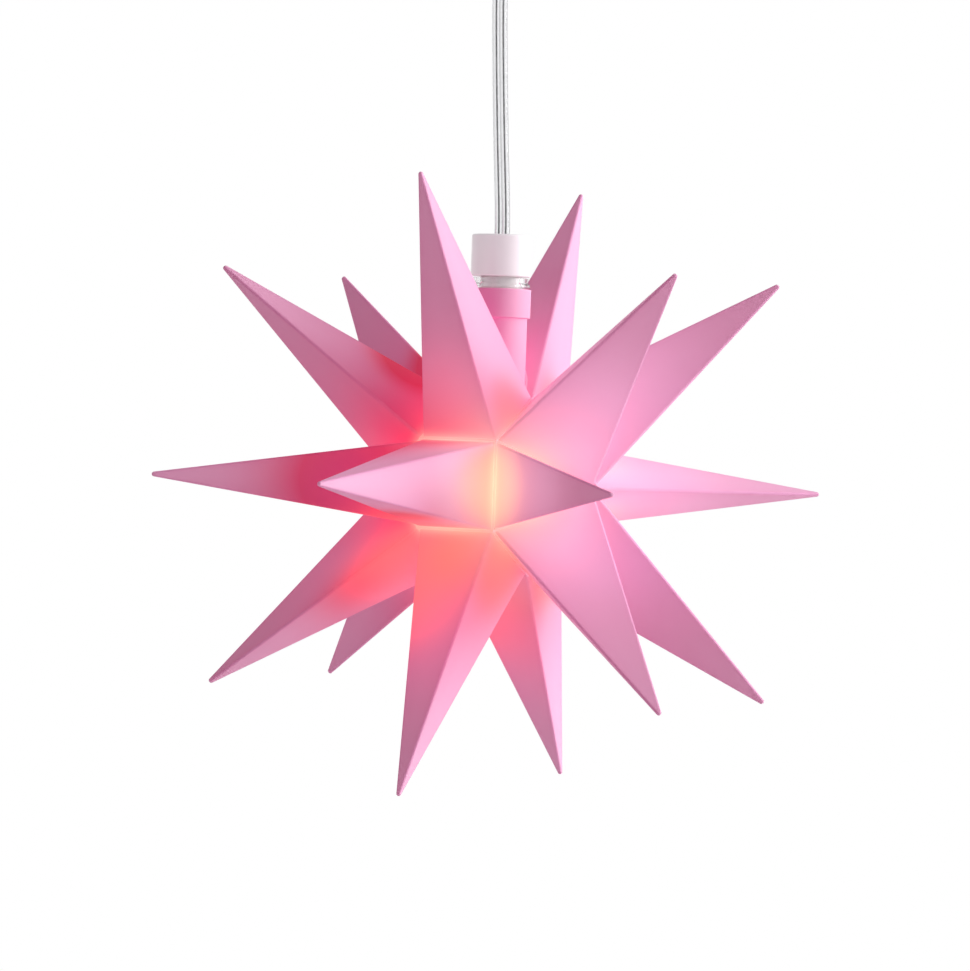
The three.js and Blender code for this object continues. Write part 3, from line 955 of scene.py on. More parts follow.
@dataclass
class HollowPoint:
    """A hollow pointed shell on a flat base polygon of the core, with a glue flange inside."""

    corners: tuple[Vector, ...]
    tip: Vector
    wall: float = 0.8
    ridge_radius: float = 0.45
    inner_radius: float = 0.15
    tip_radius: float = 0.39
    tip_corner_share: float = 0.85
    flange: float = 1.2
    seam_gap: float = 0.2
    seam_reach: float = 0.05
    # Shares of painted ridge shade: at the foot of each rounded ridge, on the sides next to it, and at the
    # tip, fading away from the tip.
    ridge_foot_tone: float = 0.35
    side_tones: tuple[Pair, ...] = ((0.12, 0.12), (0.5, 0.0), (0.88, 0.12))
    tip_tone: float = 0.4
    tip_tone_fade: float = 12.0
    ridge_steps: int = 8
    levels: int = 14
    dome_steps: int = 5

    def __post_init__(self) -> None:
        """Lays a flat frame on the base polygon."""
        self.middle = sum(self.corners, Vector()) / len(self.corners)
        self.along = (self.corners[1] - self.corners[0]).normalized()
        normal = self.along.cross(self.corners[-1] - self.corners[0]).normalized()
        self.normal = normal if normal.dot(self.middle) > 0 else -normal
        self.up = self.normal.cross(self.along)
        spokes = [corner - self.middle for corner in self.corners]
        flat = [Vector((spoke.dot(self.along), spoke.dot(self.up))) for spoke in spokes]
        pairs = list(zip(flat, flat[1:] + flat[:1], strict=True))
        area = sum(a.x * b.y - a.y * b.x for a, b in pairs) / 2
        girth = sum((a - b).length for a, b in pairs)
        self.flat = flat if area > 0 else flat[::-1]
        self.inradius = 2 * abs(area) / girth

    def section(
        self, flat: Sequence[Vector], inset: float, radius: float
    ) -> tuple[list[Vector], list[float]]:
        """Rounded polygon with points on its sides.

        Args:
            flat: Corners, counter-clockwise.
            inset: Distance that the sides move inwards.
            radius: Rounding of the corners.

        Returns:
            The section's points and their shares of painted ridge shade.
        """
        arcs: list[list[Vector]] = []
        for i, corner in enumerate(flat):
            back = (flat[i - 1] - corner).normalized()
            ahead = (flat[(i + 1) % len(flat)] - corner).normalized()
            half = back.angle(ahead) / 2
            inward = (back + ahead).normalized()
            centre = corner + inward * ((inset + radius) / math.sin(half))
            crest = math.atan2(inward.y, inward.x) + HALF_TURN
            reach = QUARTER_TURN - half
            angles = steps_between(crest - reach, crest + reach, self.ridge_steps)
            arcs.append([centre + Vector((math.cos(a), math.sin(a))) * radius for a in angles])
        rise = 1 - self.ridge_foot_tone
        shape = [math.sin(angle) for angle in steps_between(0.0, HALF_TURN, self.ridge_steps)]
        tones = [self.ridge_foot_tone + rise * share for share in shape]
        tones += [tone for _, tone in self.side_tones]
        points: list[Vector] = []
        for arc, following in zip(arcs, [*arcs[1:], arcs[0]], strict=True):
            points += arc
            points += [arc[-1].lerp(following[0], share) for share, _ in self.side_tones]
        return points, tones * len(arcs)

    def lift(self, points: Iterable[Vector], centre: Vector, share: float = 1.0) -> list[Vector]:
        """Section's places in space, about a centre."""
        return [centre + self.along * (p.x * share) + self.up * (p.y * share) for p in points]

    def shell(self) -> Shell:
        """Builds the closed shell.

        Returns:
            Its points and faces.
        """
        outer, tones = self.section(self.flat, self.seam_gap / 2, self.ridge_radius)
        inner, _ = self.section(self.flat, self.seam_gap / 2 + self.wall, self.inner_radius)
        blunt_share = self.tip_radius / self.inradius
        shrunk = [corner * blunt_share for corner in self.flat]
        blunt, _ = self.section(shrunk, 0.0, self.tip_radius * self.tip_corner_share)
        shoulder = self.tip - self.normal * self.tip_radius
        outer_base = self.lift(outer, self.middle)
        inner_base = self.lift(inner, self.middle)
        tip_ring = self.lift(blunt, shoulder)
        made = Shell()
        rings: list[range] = []
        for step in range(self.dome_steps, 0, -1):
            angle = QUARTER_TURN * step / (self.dome_steps + 1)
            centre = shoulder + self.normal * (self.tip_radius * math.sin(angle))
            rings.append(made.ring(self.lift(blunt, centre, math.cos(angle)), self.tip_tone))
        for even in steps_between(0.0, 1.0, self.levels):
            share = eased(even)
            places = [a.lerp(b, share) for a, b in zip(tip_ring, outer_base, strict=True)]
            tip_tone = self.tip_tone * max(0.0, 1.0 - self.tip_tone_fade * share)
            # Painted seam glow: it rises over the last share of the point's length towards its base.
            leak = max(0.0, 1.0 - (1.0 - share) / self.seam_reach)
            rings.append(made.ring(places, [max(tone, tip_tone) for tone in tones], leak))
        sink = 1 - self.flange / self.normal.dot(self.middle)
        rings.append(made.ring([p * sink for p in outer_base], seam=1.0))
        rings.append(made.ring([p * sink for p in inner_base]))
        rings.append(made.ring(inner_base))
        made.stack(rings)
        hollow = (self.inradius - self.wall) / (self.inradius - self.tip_radius)
        hollow_tip = self.middle.lerp(self.tip, min(hollow, 1 - blunt_share))
        made.fan(self.tip, rings[0], self.tip_tone, flip=True)
        made.fan(hollow_tip, rings[-1])
        return made


@dataclass
class StarBody:
    """The glued body: a belt of six four-sided points and two caps of six three-sided ones."""

    radius: float = 60.0
    belt_width: float = 14.3
    belt_radius: float = 15.16
    pole_reach: float = 20.2
    cap_tip_lean: float = 43.8
    bead_radius: float = 0.24
    bead_rise: float = 0.16
    bead_steps: int = 8
    bead_sides: int = 10
    drop_radius: float = 0.34
    drop_rows: int = 6
    drop_sides: int = 12
    neck_radius: float = 4.87
    neck_gap: float = 0.25
    neck_bead_radius: float = 0.312
    neck_bead_steps: int = 96
    saddle_foot: float = 12.0
    saddle_top: float = 33.8
    saddle_sides: int = 72
    saddle_points: tuple[str, ...] = ("front_upper", "back_upper")
    side_names: tuple[str, ...] = ("front", "front_upper", "back_upper", "back", "back_lower", "front_lower")

    def about(self, side: float, reach: float, radius: float) -> Vector:
        """Place round the belt's axis.

        Args:
            side: Number of belt sides from the front one, upwards.
            reach: Distance along the axis to the right.
            radius: Distance from the axis.

        Returns:
            The place.
        """
        angle = FULL_TURN * side / len(self.side_names)
        return Vector((reach, -radius * math.cos(angle), radius * math.sin(angle)))

    def pole(self, end: int) -> Vector:
        """Middle of the right (1) or left (-1) cap."""
        return Vector((end * self.pole_reach, 0, 0))

    def belt_corner(self, end: int, index: int) -> Vector:
        """Corner of the belt after one of its sides, on the right (1) or the left (-1)."""
        return self.about(index + 0.5, end * self.belt_width / 2, self.belt_radius)

    def belt_point(self, index: int) -> HollowPoint:
        """Four-sided point of the belt."""
        right = [self.belt_corner(1, i) for i in (index - 1, index)]
        left = [self.belt_corner(-1, i) for i in (index, index - 1)]
        return HollowPoint((*right, *left), self.about(index, 0.0, self.radius))

    def cap_point(self, end: int, index: int) -> HollowPoint:
        """Three-sided point of the right (1) or left (-1) cap."""
        lean = math.radians(self.cap_tip_lean)
        corners = [self.belt_corner(end, i) for i in (index - 1, index)]
        tip = self.about(index, end * self.radius * math.cos(lean), self.radius * math.sin(lean))
        return HollowPoint((self.pole(end), *corners), tip)

    def glue_seams(self) -> Shell:
        """Thin beads of glue along the valleys between the points, with drops where they meet.

        Returns:
            The beads' shell.
        """
        edges: list[tuple[Vector, Vector]] = []
        corners = [self.pole(end) for end in (1, -1)]
        for index in range(len(self.side_names)):
            edges.append((self.belt_corner(-1, index), self.belt_corner(1, index)))
            for end in (1, -1):
                here = self.belt_corner(end, index)
                corners.append(here)
                edges.append((self.belt_corner(end, index - 1), here))
                edges.append((here, self.pole(end)))
        made = Shell()
        for start, end in edges:
            lift = (start + end).normalized() * self.bead_rise
            shares = steps_between(0.0, 1.0, self.bead_steps)
            self.bead(made, [start.lerp(end, share) + lift for share in shares])
        for corner in corners:
            ball = arc_profile(0.0, 0.0, self.drop_radius, -90.0, 90.0, self.drop_rows)
            turned(ball, self.drop_sides, corner + corner.normalized() * self.bead_rise, made)
        # The glue beads carry the full painted seam glow.
        made.seams = [1.0] * len(made.points)
        return made

    def bead(self, made: Shell, path: Sequence[Vector]) -> None:
        """Adds a round bead along a path.

        Args:
            made: Shell that takes it.
            path: Centres along the bead.
        """
        sections = []
        for i, place in enumerate(path):
            ahead = (path[min(i + 1, len(path) - 1)] - path[max(i - 1, 0)]).normalized()
            side = ahead.cross(place).normalized()
            sections.append(round_section(side, side.cross(ahead), self.bead_radius, self.bead_sides))
        made.tube(path, sections, closed=False)

    def neck_glue(self) -> Shell:
        """Fillet of glue round the neck's saddle line on the two upper belt points.

        Returns:
            The bead's shell.
        """
        tip = self.about(1, 0.0, self.radius)
        slope = (tip.z - self.belt_radius) / -tip.y
        around = self.neck_radius + self.neck_gap / 2
        path, sections = [], []
        for angle in turns_of(self.neck_bead_steps):
            out = level(angle)
            path.append(out * around + up_by(self.belt_radius + slope * around * abs(math.sin(angle))))
            sections.append(round_section(out, up_by(1), self.neck_bead_radius, self.bead_sides))
        made = Shell()
        made.tube(path, sections, closed=True)
        return made

    def build(self) -> list[bpy.types.Object]:
        """Builds and dresses the eighteen points and the glue seams.

        Returns:
            The pieces.
        """
        room = column(self.neck_radius + self.neck_gap, self.saddle_foot, self.saddle_top)
        saddle = turned(room, self.saddle_sides)
        pieces = []
        for index, side_name in enumerate(self.side_names):
            points = {
                "belt": self.belt_point(index),
                "right": self.cap_point(1, index),
                "left": self.cap_point(-1, index),
            }
            for kind, point in points.items():
                piece = point.shell().finish(
                    f"{kind}_{side_name}_skin",
                    Body.STAR,
                    Slot.PINK_PLASTIC,
                    PINK,
                    node=f"{kind}_point_{side_name}",
                    cutters=[saddle] if kind == "belt" and side_name in self.saddle_points else [],
                )
                pieces.append(piece)
        for glue in (self.glue_seams, self.neck_glue):
            pieces.append(glue().finish(glue.__name__, Body.STAR, Slot.PINK_PLASTIC, PINK, Edge.SOFT))
        return pieces


# Neck, seal, cap and plug


@dataclass
class NeckFitting:
    """Neck with its collar, clear seal, white cap, and the plug that carries the lamp."""

    neck_rise: float = 33.8
    neck_foot: float = 13.16
    neck_bore: float = 3.67
    neck_radius: float = 4.87
    collar_height: float = 5.0
    collar_step: float = 0.5
    collar_foot_round: float = 0.1
    collar_edge_round: float = 0.16
    collar_top_round: float = 0.22
    seal_foot: float = 34.05
    seal_height: float = 1.6
    seal_bore: float = 3.67
    seal_round: float = 0.08
    lip_height: float = 0.5
    lip_slope: float = 0.35
    lip_round: float = 0.12
    lip_top_round: float = 0.1
    cap_foot: float = 35.9
    cap_radius: float = 5.18
    cap_height: float = 7.2
    cap_bore: float = 4.28
    cap_roof: float = 1.0
    cap_mouth_round: float = 0.12
    cap_foot_round: float = 0.2
    cap_top_round: float = 0.35
    cable_hole: float = 1.6
    cable_hole_round: float = 0.15
    plug_radius: float = 3.42
    plug_bore: float = 2.27
    plug_foot: float = 21.8
    plug_head: float = 36.15
    plug_nose_round: float = 0.4
    plug_round: float = 0.1
    head_height: float = 1.5
    head_gap: float = 0.25
    tower_height: float = 2.8
    tower_step: float = 0.5

    def neck(self) -> Shell:
        """Pink neck with its collar."""
        foot = self.neck_rise - self.collar_height
        collar = self.neck_radius + self.collar_step
        return turned([
            Corner(self.neck_bore, self.neck_foot),
            Corner(self.neck_radius, self.neck_foot),
            Corner(self.neck_radius, foot, self.collar_foot_round),
            Corner(collar, foot, self.collar_edge_round),
            Corner(collar, self.neck_rise, self.collar_top_round),
            Corner(self.neck_bore, self.neck_rise, self.collar_top_round),
        ])

    def seal(self) -> Shell:
        """Clear ring with a lip that spreads onto the collar."""
        radius = self.cap_radius - self.lip_slope
        lip = self.seal_foot + self.lip_height
        top = self.seal_foot + self.seal_height
        return turned([
            Corner(self.seal_bore, self.seal_foot, self.seal_round),
            Corner(self.cap_radius, self.seal_foot, self.lip_round),
            Corner(self.cap_radius, lip, self.lip_round),
            Corner(radius, lip + self.lip_slope, self.lip_top_round),
            Corner(radius, top, self.seal_round),
            Corner(self.seal_bore, top, self.seal_round),
        ])

    def cap(self) -> Shell:
        """White cap with a rounded upper edge."""
        top = self.cap_foot + self.cap_height
        roof = top - self.cap_roof
        return turned([
            Corner(self.cap_bore, self.cap_foot, self.cap_mouth_round),
            Corner(self.cap_radius, self.cap_foot, self.cap_foot_round),
            Corner(self.cap_radius, top, self.cap_top_round),
            Corner(self.cable_hole, top, self.cable_hole_round),
            Corner(self.cable_hole, roof),
            Corner(self.cap_bore, roof),
        ])

    def plug(self) -> Shell:
        """Milky plug with its head and tower."""
        head = self.cap_bore - self.head_gap
        head_top = self.plug_head + self.head_height
        tower = self.plug_radius - self.tower_step
        tower_top = head_top + self.tower_height
        return turned([
            Corner(self.plug_bore, self.plug_foot, self.plug_round),
            Corner(self.plug_radius, self.plug_foot, self.plug_nose_round),
            Corner(self.plug_radius, self.plug_head),
            Corner(head, self.plug_head, self.plug_round),
            Corner(head, head_top, self.plug_round),
            Corner(tower, head_top),
            Corner(tower, tower_top, self.plug_round),
            Corner(self.plug_bore, tower_top, self.plug_round),
        ])

    def build(self) -> list[bpy.types.Object]:
        """Builds and dresses the fitting.

        Returns:
            The pieces.
        """
        makes = (
            ("neck_skin", self.neck(), Body.STAR, Slot.PINK_PLASTIC, PINK, "neck"),
            ("seal_ring", self.seal(), Body.SEAL, Slot.CLEAR_PLASTIC, CLEAR, "clear_seal"),
            ("cap_shell", self.cap(), Body.PENDANT, Slot.WHITE_PLASTIC, CAP_WHITE, "cap"),
            ("plug_body", self.plug(), Body.PENDANT, Slot.MILKY_PLASTIC, MILKY, "lamp_plug"),
        )
        return [
            shell.finish(name, body, slot, look, node=node) for name, shell, body, slot, look, node in makes
        ]


# Cable


@dataclass
class TwinCable:
    """Flat clear twin cable: two stranded wires side by side in one jacket."""

    width: float = 2.7
    thickness: float = 1.5
    groove_share: float = 0.86
    round_steps: int = 18
    strand_radius: float = 0.04
    strand_pitch: float = 6.0
    strand_lay: float = 0.0808
    strands_round: int = 6
    strand_sides: int = 6
    tail_foot: float = 38.3
    tail_top: float = 42.6
    tail_steps: int = 6
    relief_radius: float = 2.5
    relief_foot: float = 40.7
    relief_top: float = 41.85
    relief_bore_share: float = 1.12
    rim_share: float = 0.96
    rim_depth: float = 0.12
    mouth_share: float = 1.06
    mouth_depth: float = 0.1
    steps: int = 96
    route: tuple[tuple[float, float, float], ...] = (
        (0.0, 0.0, -0.08415),
        (0.0, 0.0, -0.0824),
        (-0.00012, -0.00006, -0.07865),
        (-0.00034, -0.00018, -0.07415),
        (-0.00057, -0.0003, -0.06965),
        (-0.00079, -0.00041, -0.06515),
        (-0.00099, -0.00052, -0.06065),
        (-0.00118, -0.00062, -0.05615),
        (-0.00136, -0.00071, -0.05165),
        (-0.00151, -0.00079, -0.04715),
        (-0.0016, -0.00084, -0.04265),
        (-0.00147, -0.00077, -0.03815),
        (-0.00118, -0.00061, -0.03415),
        (-0.00072, -0.00038, -0.03015),
        (-0.0003, -0.00016, -0.02665),
        (-0.00005, -0.00003, -0.02395),
        (0.0, 0.0, -0.022),
    )

    def centres(self) -> list[Vector]:
        """Places along the route on one smooth curve, in millimetres from the star's centre.

        Returns:
            The places, from the cap to the cord grip.
        """
        knots = [Vector((x / MM, y / MM, z / MM + STAR_CENTRE_BELOW_CEILING)) for x, y, z in self.route]
        ends = [knots[0] * 2 - knots[1], *knots, knots[-1] * 2 - knots[-2]]
        spans = len(knots) - 1
        places = []
        for at in steps_between(0.0, spans, self.steps):
            i = min(int(at), spans - 1)
            t = at - i
            a, b, c, d = ends[i : i + 4]
            bend = 2 * a - 5 * b + 4 * c - d
            twist = 3 * b - a - 3 * c + d
            places.append((2 * b + (c - a) * t + bend * t**2 + twist * t**3) / 2)
        return places

    def outline(self) -> list[Vector]:
        """Outline of the jacket: two rounds that meet in a shallow groove.

        Returns:
            Offsets from the cable's middle.
        """
        wide, thick = level(CABLE_FACING), level(CABLE_FACING + QUARTER_TURN)
        radius = self.thickness / 2
        offset = self.width / 2 - radius
        waist = math.acos(offset / radius) * self.groove_share
        points = []
        for side in (1, -1):
            for angle in steps_between(waist - HALF_TURN, HALF_TURN - waist, self.round_steps):
                along = side * (offset + radius * math.cos(angle))
                points.append(wide * along + thick * (side * radius * math.sin(angle)))
        return points

    def strands(self, side: int, centres: Sequence[Vector]) -> Shell:
        """Twisted strands of one wire: one in the middle and six round it.

        Args:
            side: 1 or -1, the wire's side of the cable.
            centres: The cable's middle.

        Returns:
            The strands' shell.
        """
        offset = level(CABLE_FACING) * (side * (self.width - self.thickness) / 2)
        ring = circle(self.strand_radius, self.strand_sides)
        made = Shell()
        for strand in range(self.strands_round + 1):
            lay = self.strand_lay if strand else 0.0
            turns = [FULL_TURN * (strand / self.strands_round + p.z / self.strand_pitch) for p in centres]
            made.rod([p + offset + level(turn) * lay for p, turn in zip(centres, turns, strict=True)], ring)
        return made

    def clamp(self, outline: Sequence[Vector]) -> Shell:
        """Ring that grips the cable inside the cap.

        Args:
            outline: The cable's outline.

        Returns:
            The ring's shell.
        """
        low, high = self.relief_foot, self.relief_top
        outer = [p.normalized() * self.relief_radius for p in outline]
        inner = [p * self.relief_bore_share for p in outline]
        rows = (
            (outer, self.rim_share, low),
            (outer, 1.0, low + self.rim_depth),
            (outer, 1.0, high - self.rim_depth),
            (outer, self.rim_share, high),
            (inner, self.mouth_share, high),
            (inner, 1.0, high - self.mouth_depth),
            (inner, 1.0, low + self.mouth_depth),
            (inner, self.mouth_share, low),
        )
        made = Shell()
        rings = [made.ring([p * share + up_by(height) for p in shape]) for shape, share, height in rows]
        made.stack(rings, closed=True)
        return made

    def build(self) -> list[bpy.types.Object]:
        """Returns:
            The pieces.
        """
        centres = self.centres()
        outline = self.outline()
        inside = [up_by(height) for height in steps_between(self.tail_foot, self.tail_top, self.tail_steps)]
        jacket = Shell().rod(centres, outline)
        tail = Shell().rod(inside, outline)
        ride = Body.PENDANT
        sheath = jacket.finish("cable_jacket", ride, Slot.CLEAR_CABLE, JACKET, Edge.SOFT, "cord")
        end = tail.finish("cable_tail_jacket", ride, Slot.CLEAR_CABLE, JACKET, node="cable_tail")
        clamp = self.clamp(outline).finish(
            "relief_clamp", ride, Slot.MILKY_PLASTIC, MILKY, node="strain_relief"
        )
        wires = [
            self.strands(side, centres).finish(
                f"cable_strands_{pole}", ride, Slot.TINNED_WIRE, STRAND, Edge.SOFT
            )
            for pole, side in (("plus", 1), ("minus", -1))
        ]
        return [sheath, end, clamp, *wires]


# Lamp


@dataclass
class Lamp:
    """Warm LED at the star's middle, with its leads, sleeves and single wires."""

    dome_radius: float = 2.5
    dome_centre: float = -1.5
    dome_steps: int = 20
    dome_sides: int = 72
    rim_radius: float = 2.9
    rim_foot: float = 3.7
    rim_foot_round: float = 0.06
    rim_round: float = 0.08
    flat_rise: float = 0.06
    back: float = 4.7
    plate_thickness: float = 0.45
    plate_inner_share: float = 0.8
    plate_edge_share: float = 0.94
    anvil: tuple[Pair, ...] = (
        (0.2, 3.9), (-1.45, 3.9), (-1.5, 2.2), (-0.55, 0.9),
        (-0.6, -0.2), (0.75, -0.2), (0.7, 1.1), (0.1, 2.1),
    )
    post: tuple[Pair, ...] = (
        (1.5, 3.9), (0.75, 3.9), (0.8, 2.4), (1.05, 1.5), (1.1, 0.3), (1.45, 0.3), (1.5, 1.6),
    )
    cup: tuple[Pair, ...] = ((0.25, -0.2), (0.62, -0.2), (0.68, -0.55), (0.55, -0.55), (0.3, -0.3))
    cup_place: float = 0.03
    cup_sides: int = 32
    phosphor_radius: float = 0.46
    phosphor_height: float = -0.4
    phosphor_back: float = -0.22
    phosphor_steps: int = 8
    lead_spacing: float = 2.54
    lead_half_width: float = 0.24
    lead_thin_share: float = 0.84
    lead_corner_share: float = 0.32
    lead_bury: float = 0.1
    lead_top: float = 14.75
    lead_steps: int = 40
    shoulder_rise: float = 0.03
    shoulder_span: Pair = (1.0, 1.8)
    solder_rise: float = 0.05
    solder_height: float = 13.0
    solder_reach: float = 1.6
    wire_radius: float = 0.5
    wire_foot: float = 15.0
    wire_top: float = 38.25
    wire_steps: int = 60
    wire_sides: int = 24
    wire_bow: float = 0.12
    wire_wave: float = 0.45
    draw_foot: float = 31.5
    draw_height: float = 6.0
    draw_share: float = 0.25
    strand_count: int = 3
    strand_radius: float = 0.15
    strand_sides: int = 6
    strand_lay: float = 0.17
    strand_twist: float = 0.9
    sleeve_foot: float = 10.95
    sleeve_top: float = 19.95
    sleeve_bore: float = 0.71
    sleeve_radius: float = 1.0
    sleeve_steps: int = 36
    sleeve_sides: int = 40
    sleeve_draw: float = 0.1
    sleeve_draw_share: float = 0.09
    ripple_depth: float = 0.025
    ripple_turns: float = 17.0
    ripple_shift: float = 2.0
    ripple_calm: float = 6.0

    def side(self, sign: int, share: float = 0.5) -> Vector:
        """Place of a lead or wire beside the axis; sign is 1 or -1."""
        return level(CABLE_FACING) * (sign * share * self.lead_spacing)

    def lens(self) -> Shell:
        """Clear dome whose rim has a flat on the minus side."""
        made = turned(
            [
                *arc_profile(0.0, self.dome_centre, self.dome_radius, -90.0, 0.0, self.dome_steps),
                Corner(self.dome_radius, self.rim_foot, self.rim_foot_round),
                Corner(self.rim_radius, self.rim_foot, self.rim_round),
                Corner(self.rim_radius, self.back, self.rim_round),
                Corner(0.0, self.back),
            ],
            self.dome_sides,
        )
        out = self.side(-1).normalized()
        limit = self.dome_radius + self.flat_rise
        made.points = [p - out * max(0.0, p.dot(out) - limit) for p in made.points]
        return made

    def plate(self, made: Shell, outline: Sequence[Pair]) -> None:
        """Adds a flat stamped plate that faces across the leads.

        Args:
            made: Shell that takes it.
            outline: Corners as pairs of place along the leads' line and height.
        """
        along, across = level(CABLE_FACING), level(CABLE_FACING + QUARTER_TURN)
        half = self.plate_thickness / 2
        near = half * self.plate_inner_share
        edge = self.plate_edge_share
        middle = Vector((sum(x for x, _ in outline), 0, sum(z for _, z in outline))) / len(outline)
        rings = []
        for offset, share in ((-half, edge), (-near, 1.0), (near, 1.0), (half, edge)):
            flat = [middle + (Vector((x, 0, z)) - middle) * share for x, z in outline]
            rings.append(made.ring([along * p.x + across * offset + up_by(p.z) for p in flat]))
        made.stack(rings)
        centre = along * middle.x + up_by(middle.z)
        made.fan(centre - across * half, rings[0], flip=True)
        made.fan(centre + across * half, rings[-1])

    def leadframe(self) -> Shell:
        """Stamped post and anvil inside the lens, the anvil with a cup for the light."""
        made = Shell()
        for outline in (self.anvil, self.post):
            self.plate(made, outline)
        cup = [Corner(radius, height) for radius, height in self.cup]
        return turned(cup, self.cup_sides, self.side(1, self.cup_place), made)

    def phosphor(self) -> Shell:
        """Warm phosphor drop in the anvil's cup."""
        drop = arc_profile(0.0, self.phosphor_height, self.phosphor_radius, -90.0, 0.0, self.phosphor_steps)
        return turned(
            [*drop, Corner(0.0, self.phosphor_back)], self.cup_sides, self.side(1, self.cup_place)
        )

    def lead(self, sign: int) -> Shell:
        """Square tinned lead with a small shoulder, and solder where the wire laps it."""
        low, high = self.shoulder_span
        path, sections = [], []
        for height in steps_between(self.back - self.lead_bury, self.lead_top, self.lead_steps):
            shoulder = self.shoulder_rise if low < height - self.back < high else 0.0
            solder = self.solder_rise * math.exp(-(((height - self.solder_height) / self.solder_reach) ** 2))
            half = min(self.lead_half_width, self.lead_half_width * self.lead_thin_share + shoulder + solder)
            path.append(self.side(sign) + up_by(height))
            sections.append(self.square(half))
        made = Shell()
        made.tube(path, sections, closed=False)
        return made

    def square(self, half: float) -> list[Vector]:
        """Square section with cut corners, set along the leads' line."""
        along, across = level(CABLE_FACING), level(CABLE_FACING + QUARTER_TURN)
        flat = half - half * self.lead_corner_share
        corners = ((half, -flat), (half, flat), (flat, half), (-flat, half))
        points = [along * x + across * y for x, y in corners]
        return points + [-p for p in points]

    def sleeve(self, sign: int) -> Shell:
        """Shrunk sleeve, drawn in at its ends and uneven over the joint."""
        corners = []
        for share in steps_between(0.0, 1.0, self.sleeve_steps):
            height = self.sleeve_foot + (self.sleeve_top - self.sleeve_foot) * share
            falls = [math.exp(-((end / self.sleeve_draw_share) ** 2)) for end in (share, 1 - share)]
            ends = self.sleeve_draw * sum(falls)
            wave = 1 + math.sin(self.ripple_turns * share + self.ripple_shift * sign)
            ripple = self.ripple_depth * wave * (1 - ends * self.ripple_calm)
            corners.append(Corner(self.sleeve_radius - ends - ripple, height))
        corners += [Corner(self.sleeve_bore, height) for height in (self.sleeve_top, self.sleeve_foot)]
        return turned(corners, self.sleeve_sides, self.side(sign))

    def wire_path(self, sign: int) -> list[Vector]:
        """Middle of a single wire, which draws in towards the cable at its top."""
        path = []
        for height in steps_between(self.wire_foot, self.wire_top, self.wire_steps):
            drawn = eased(max(0.0, min(1.0, (height - self.draw_foot) / self.draw_height)))
            wave = math.sin((height - self.wire_foot) * self.wire_wave + sign)
            place = self.side(sign, 0.5 - self.draw_share * drawn)
            across = Vector((-place.y, place.x, 0)).normalized()
            path.append(place + across * (self.wire_bow * wave * (1 - drawn)) + up_by(height))
        return path

    def wire_strands(self, path: Sequence[Vector]) -> Shell:
        """Twisted strands of a single wire."""
        ring = circle(self.strand_radius, self.strand_sides)
        made = Shell()
        for turn in turns_of(self.strand_count):
            made.rod([p + self.strand_lay * level(turn + p.z * self.strand_twist) for p in path], ring)
        return made

    def build(self) -> list[bpy.types.Object]:
        """Builds and dresses the lamp.

        Returns:
            The pieces.
        """
        ride = Body.PENDANT
        pieces = [
            self.lens().finish("led_dome", ride, Slot.LED_LENS, LENS, node="led_lens"),
            self.leadframe().finish("led_leadframe", ride, Slot.TINNED_WIRE, TINNED),
            self.phosphor().finish("led_phosphor", ride, Slot.LED_LENS, PHOSPHOR, Edge.SOFT),
        ]
        cover_ring = circle(self.wire_radius, self.wire_sides)
        for pole, sign in (("plus", 1), ("minus", -1)):
            path = self.wire_path(sign)
            lead, sleeve, wire = (f"{kind}_{pole}" for kind in ("led_lead", "shrink_sleeve", "wire"))
            cover, strands = Shell().rod(path, cover_ring), self.wire_strands(path)
            pieces += [
                self.lead(sign).finish(f"{lead}_bar", ride, Slot.TINNED_WIRE, TINNED, node=lead),
                self.sleeve(sign).finish(f"{sleeve}_skin", ride, Slot.BLACK_SLEEVE, SLEEVE, node=sleeve),
                cover.finish(f"{wire}_cover", ride, Slot.CLEAR_CABLE, JACKET, node=wire),
                strands.finish(f"{wire}_strands", ride, Slot.TINNED_WIRE, TINNED, Edge.SOFT),
            ]
        return pieces


# Ceiling fitting


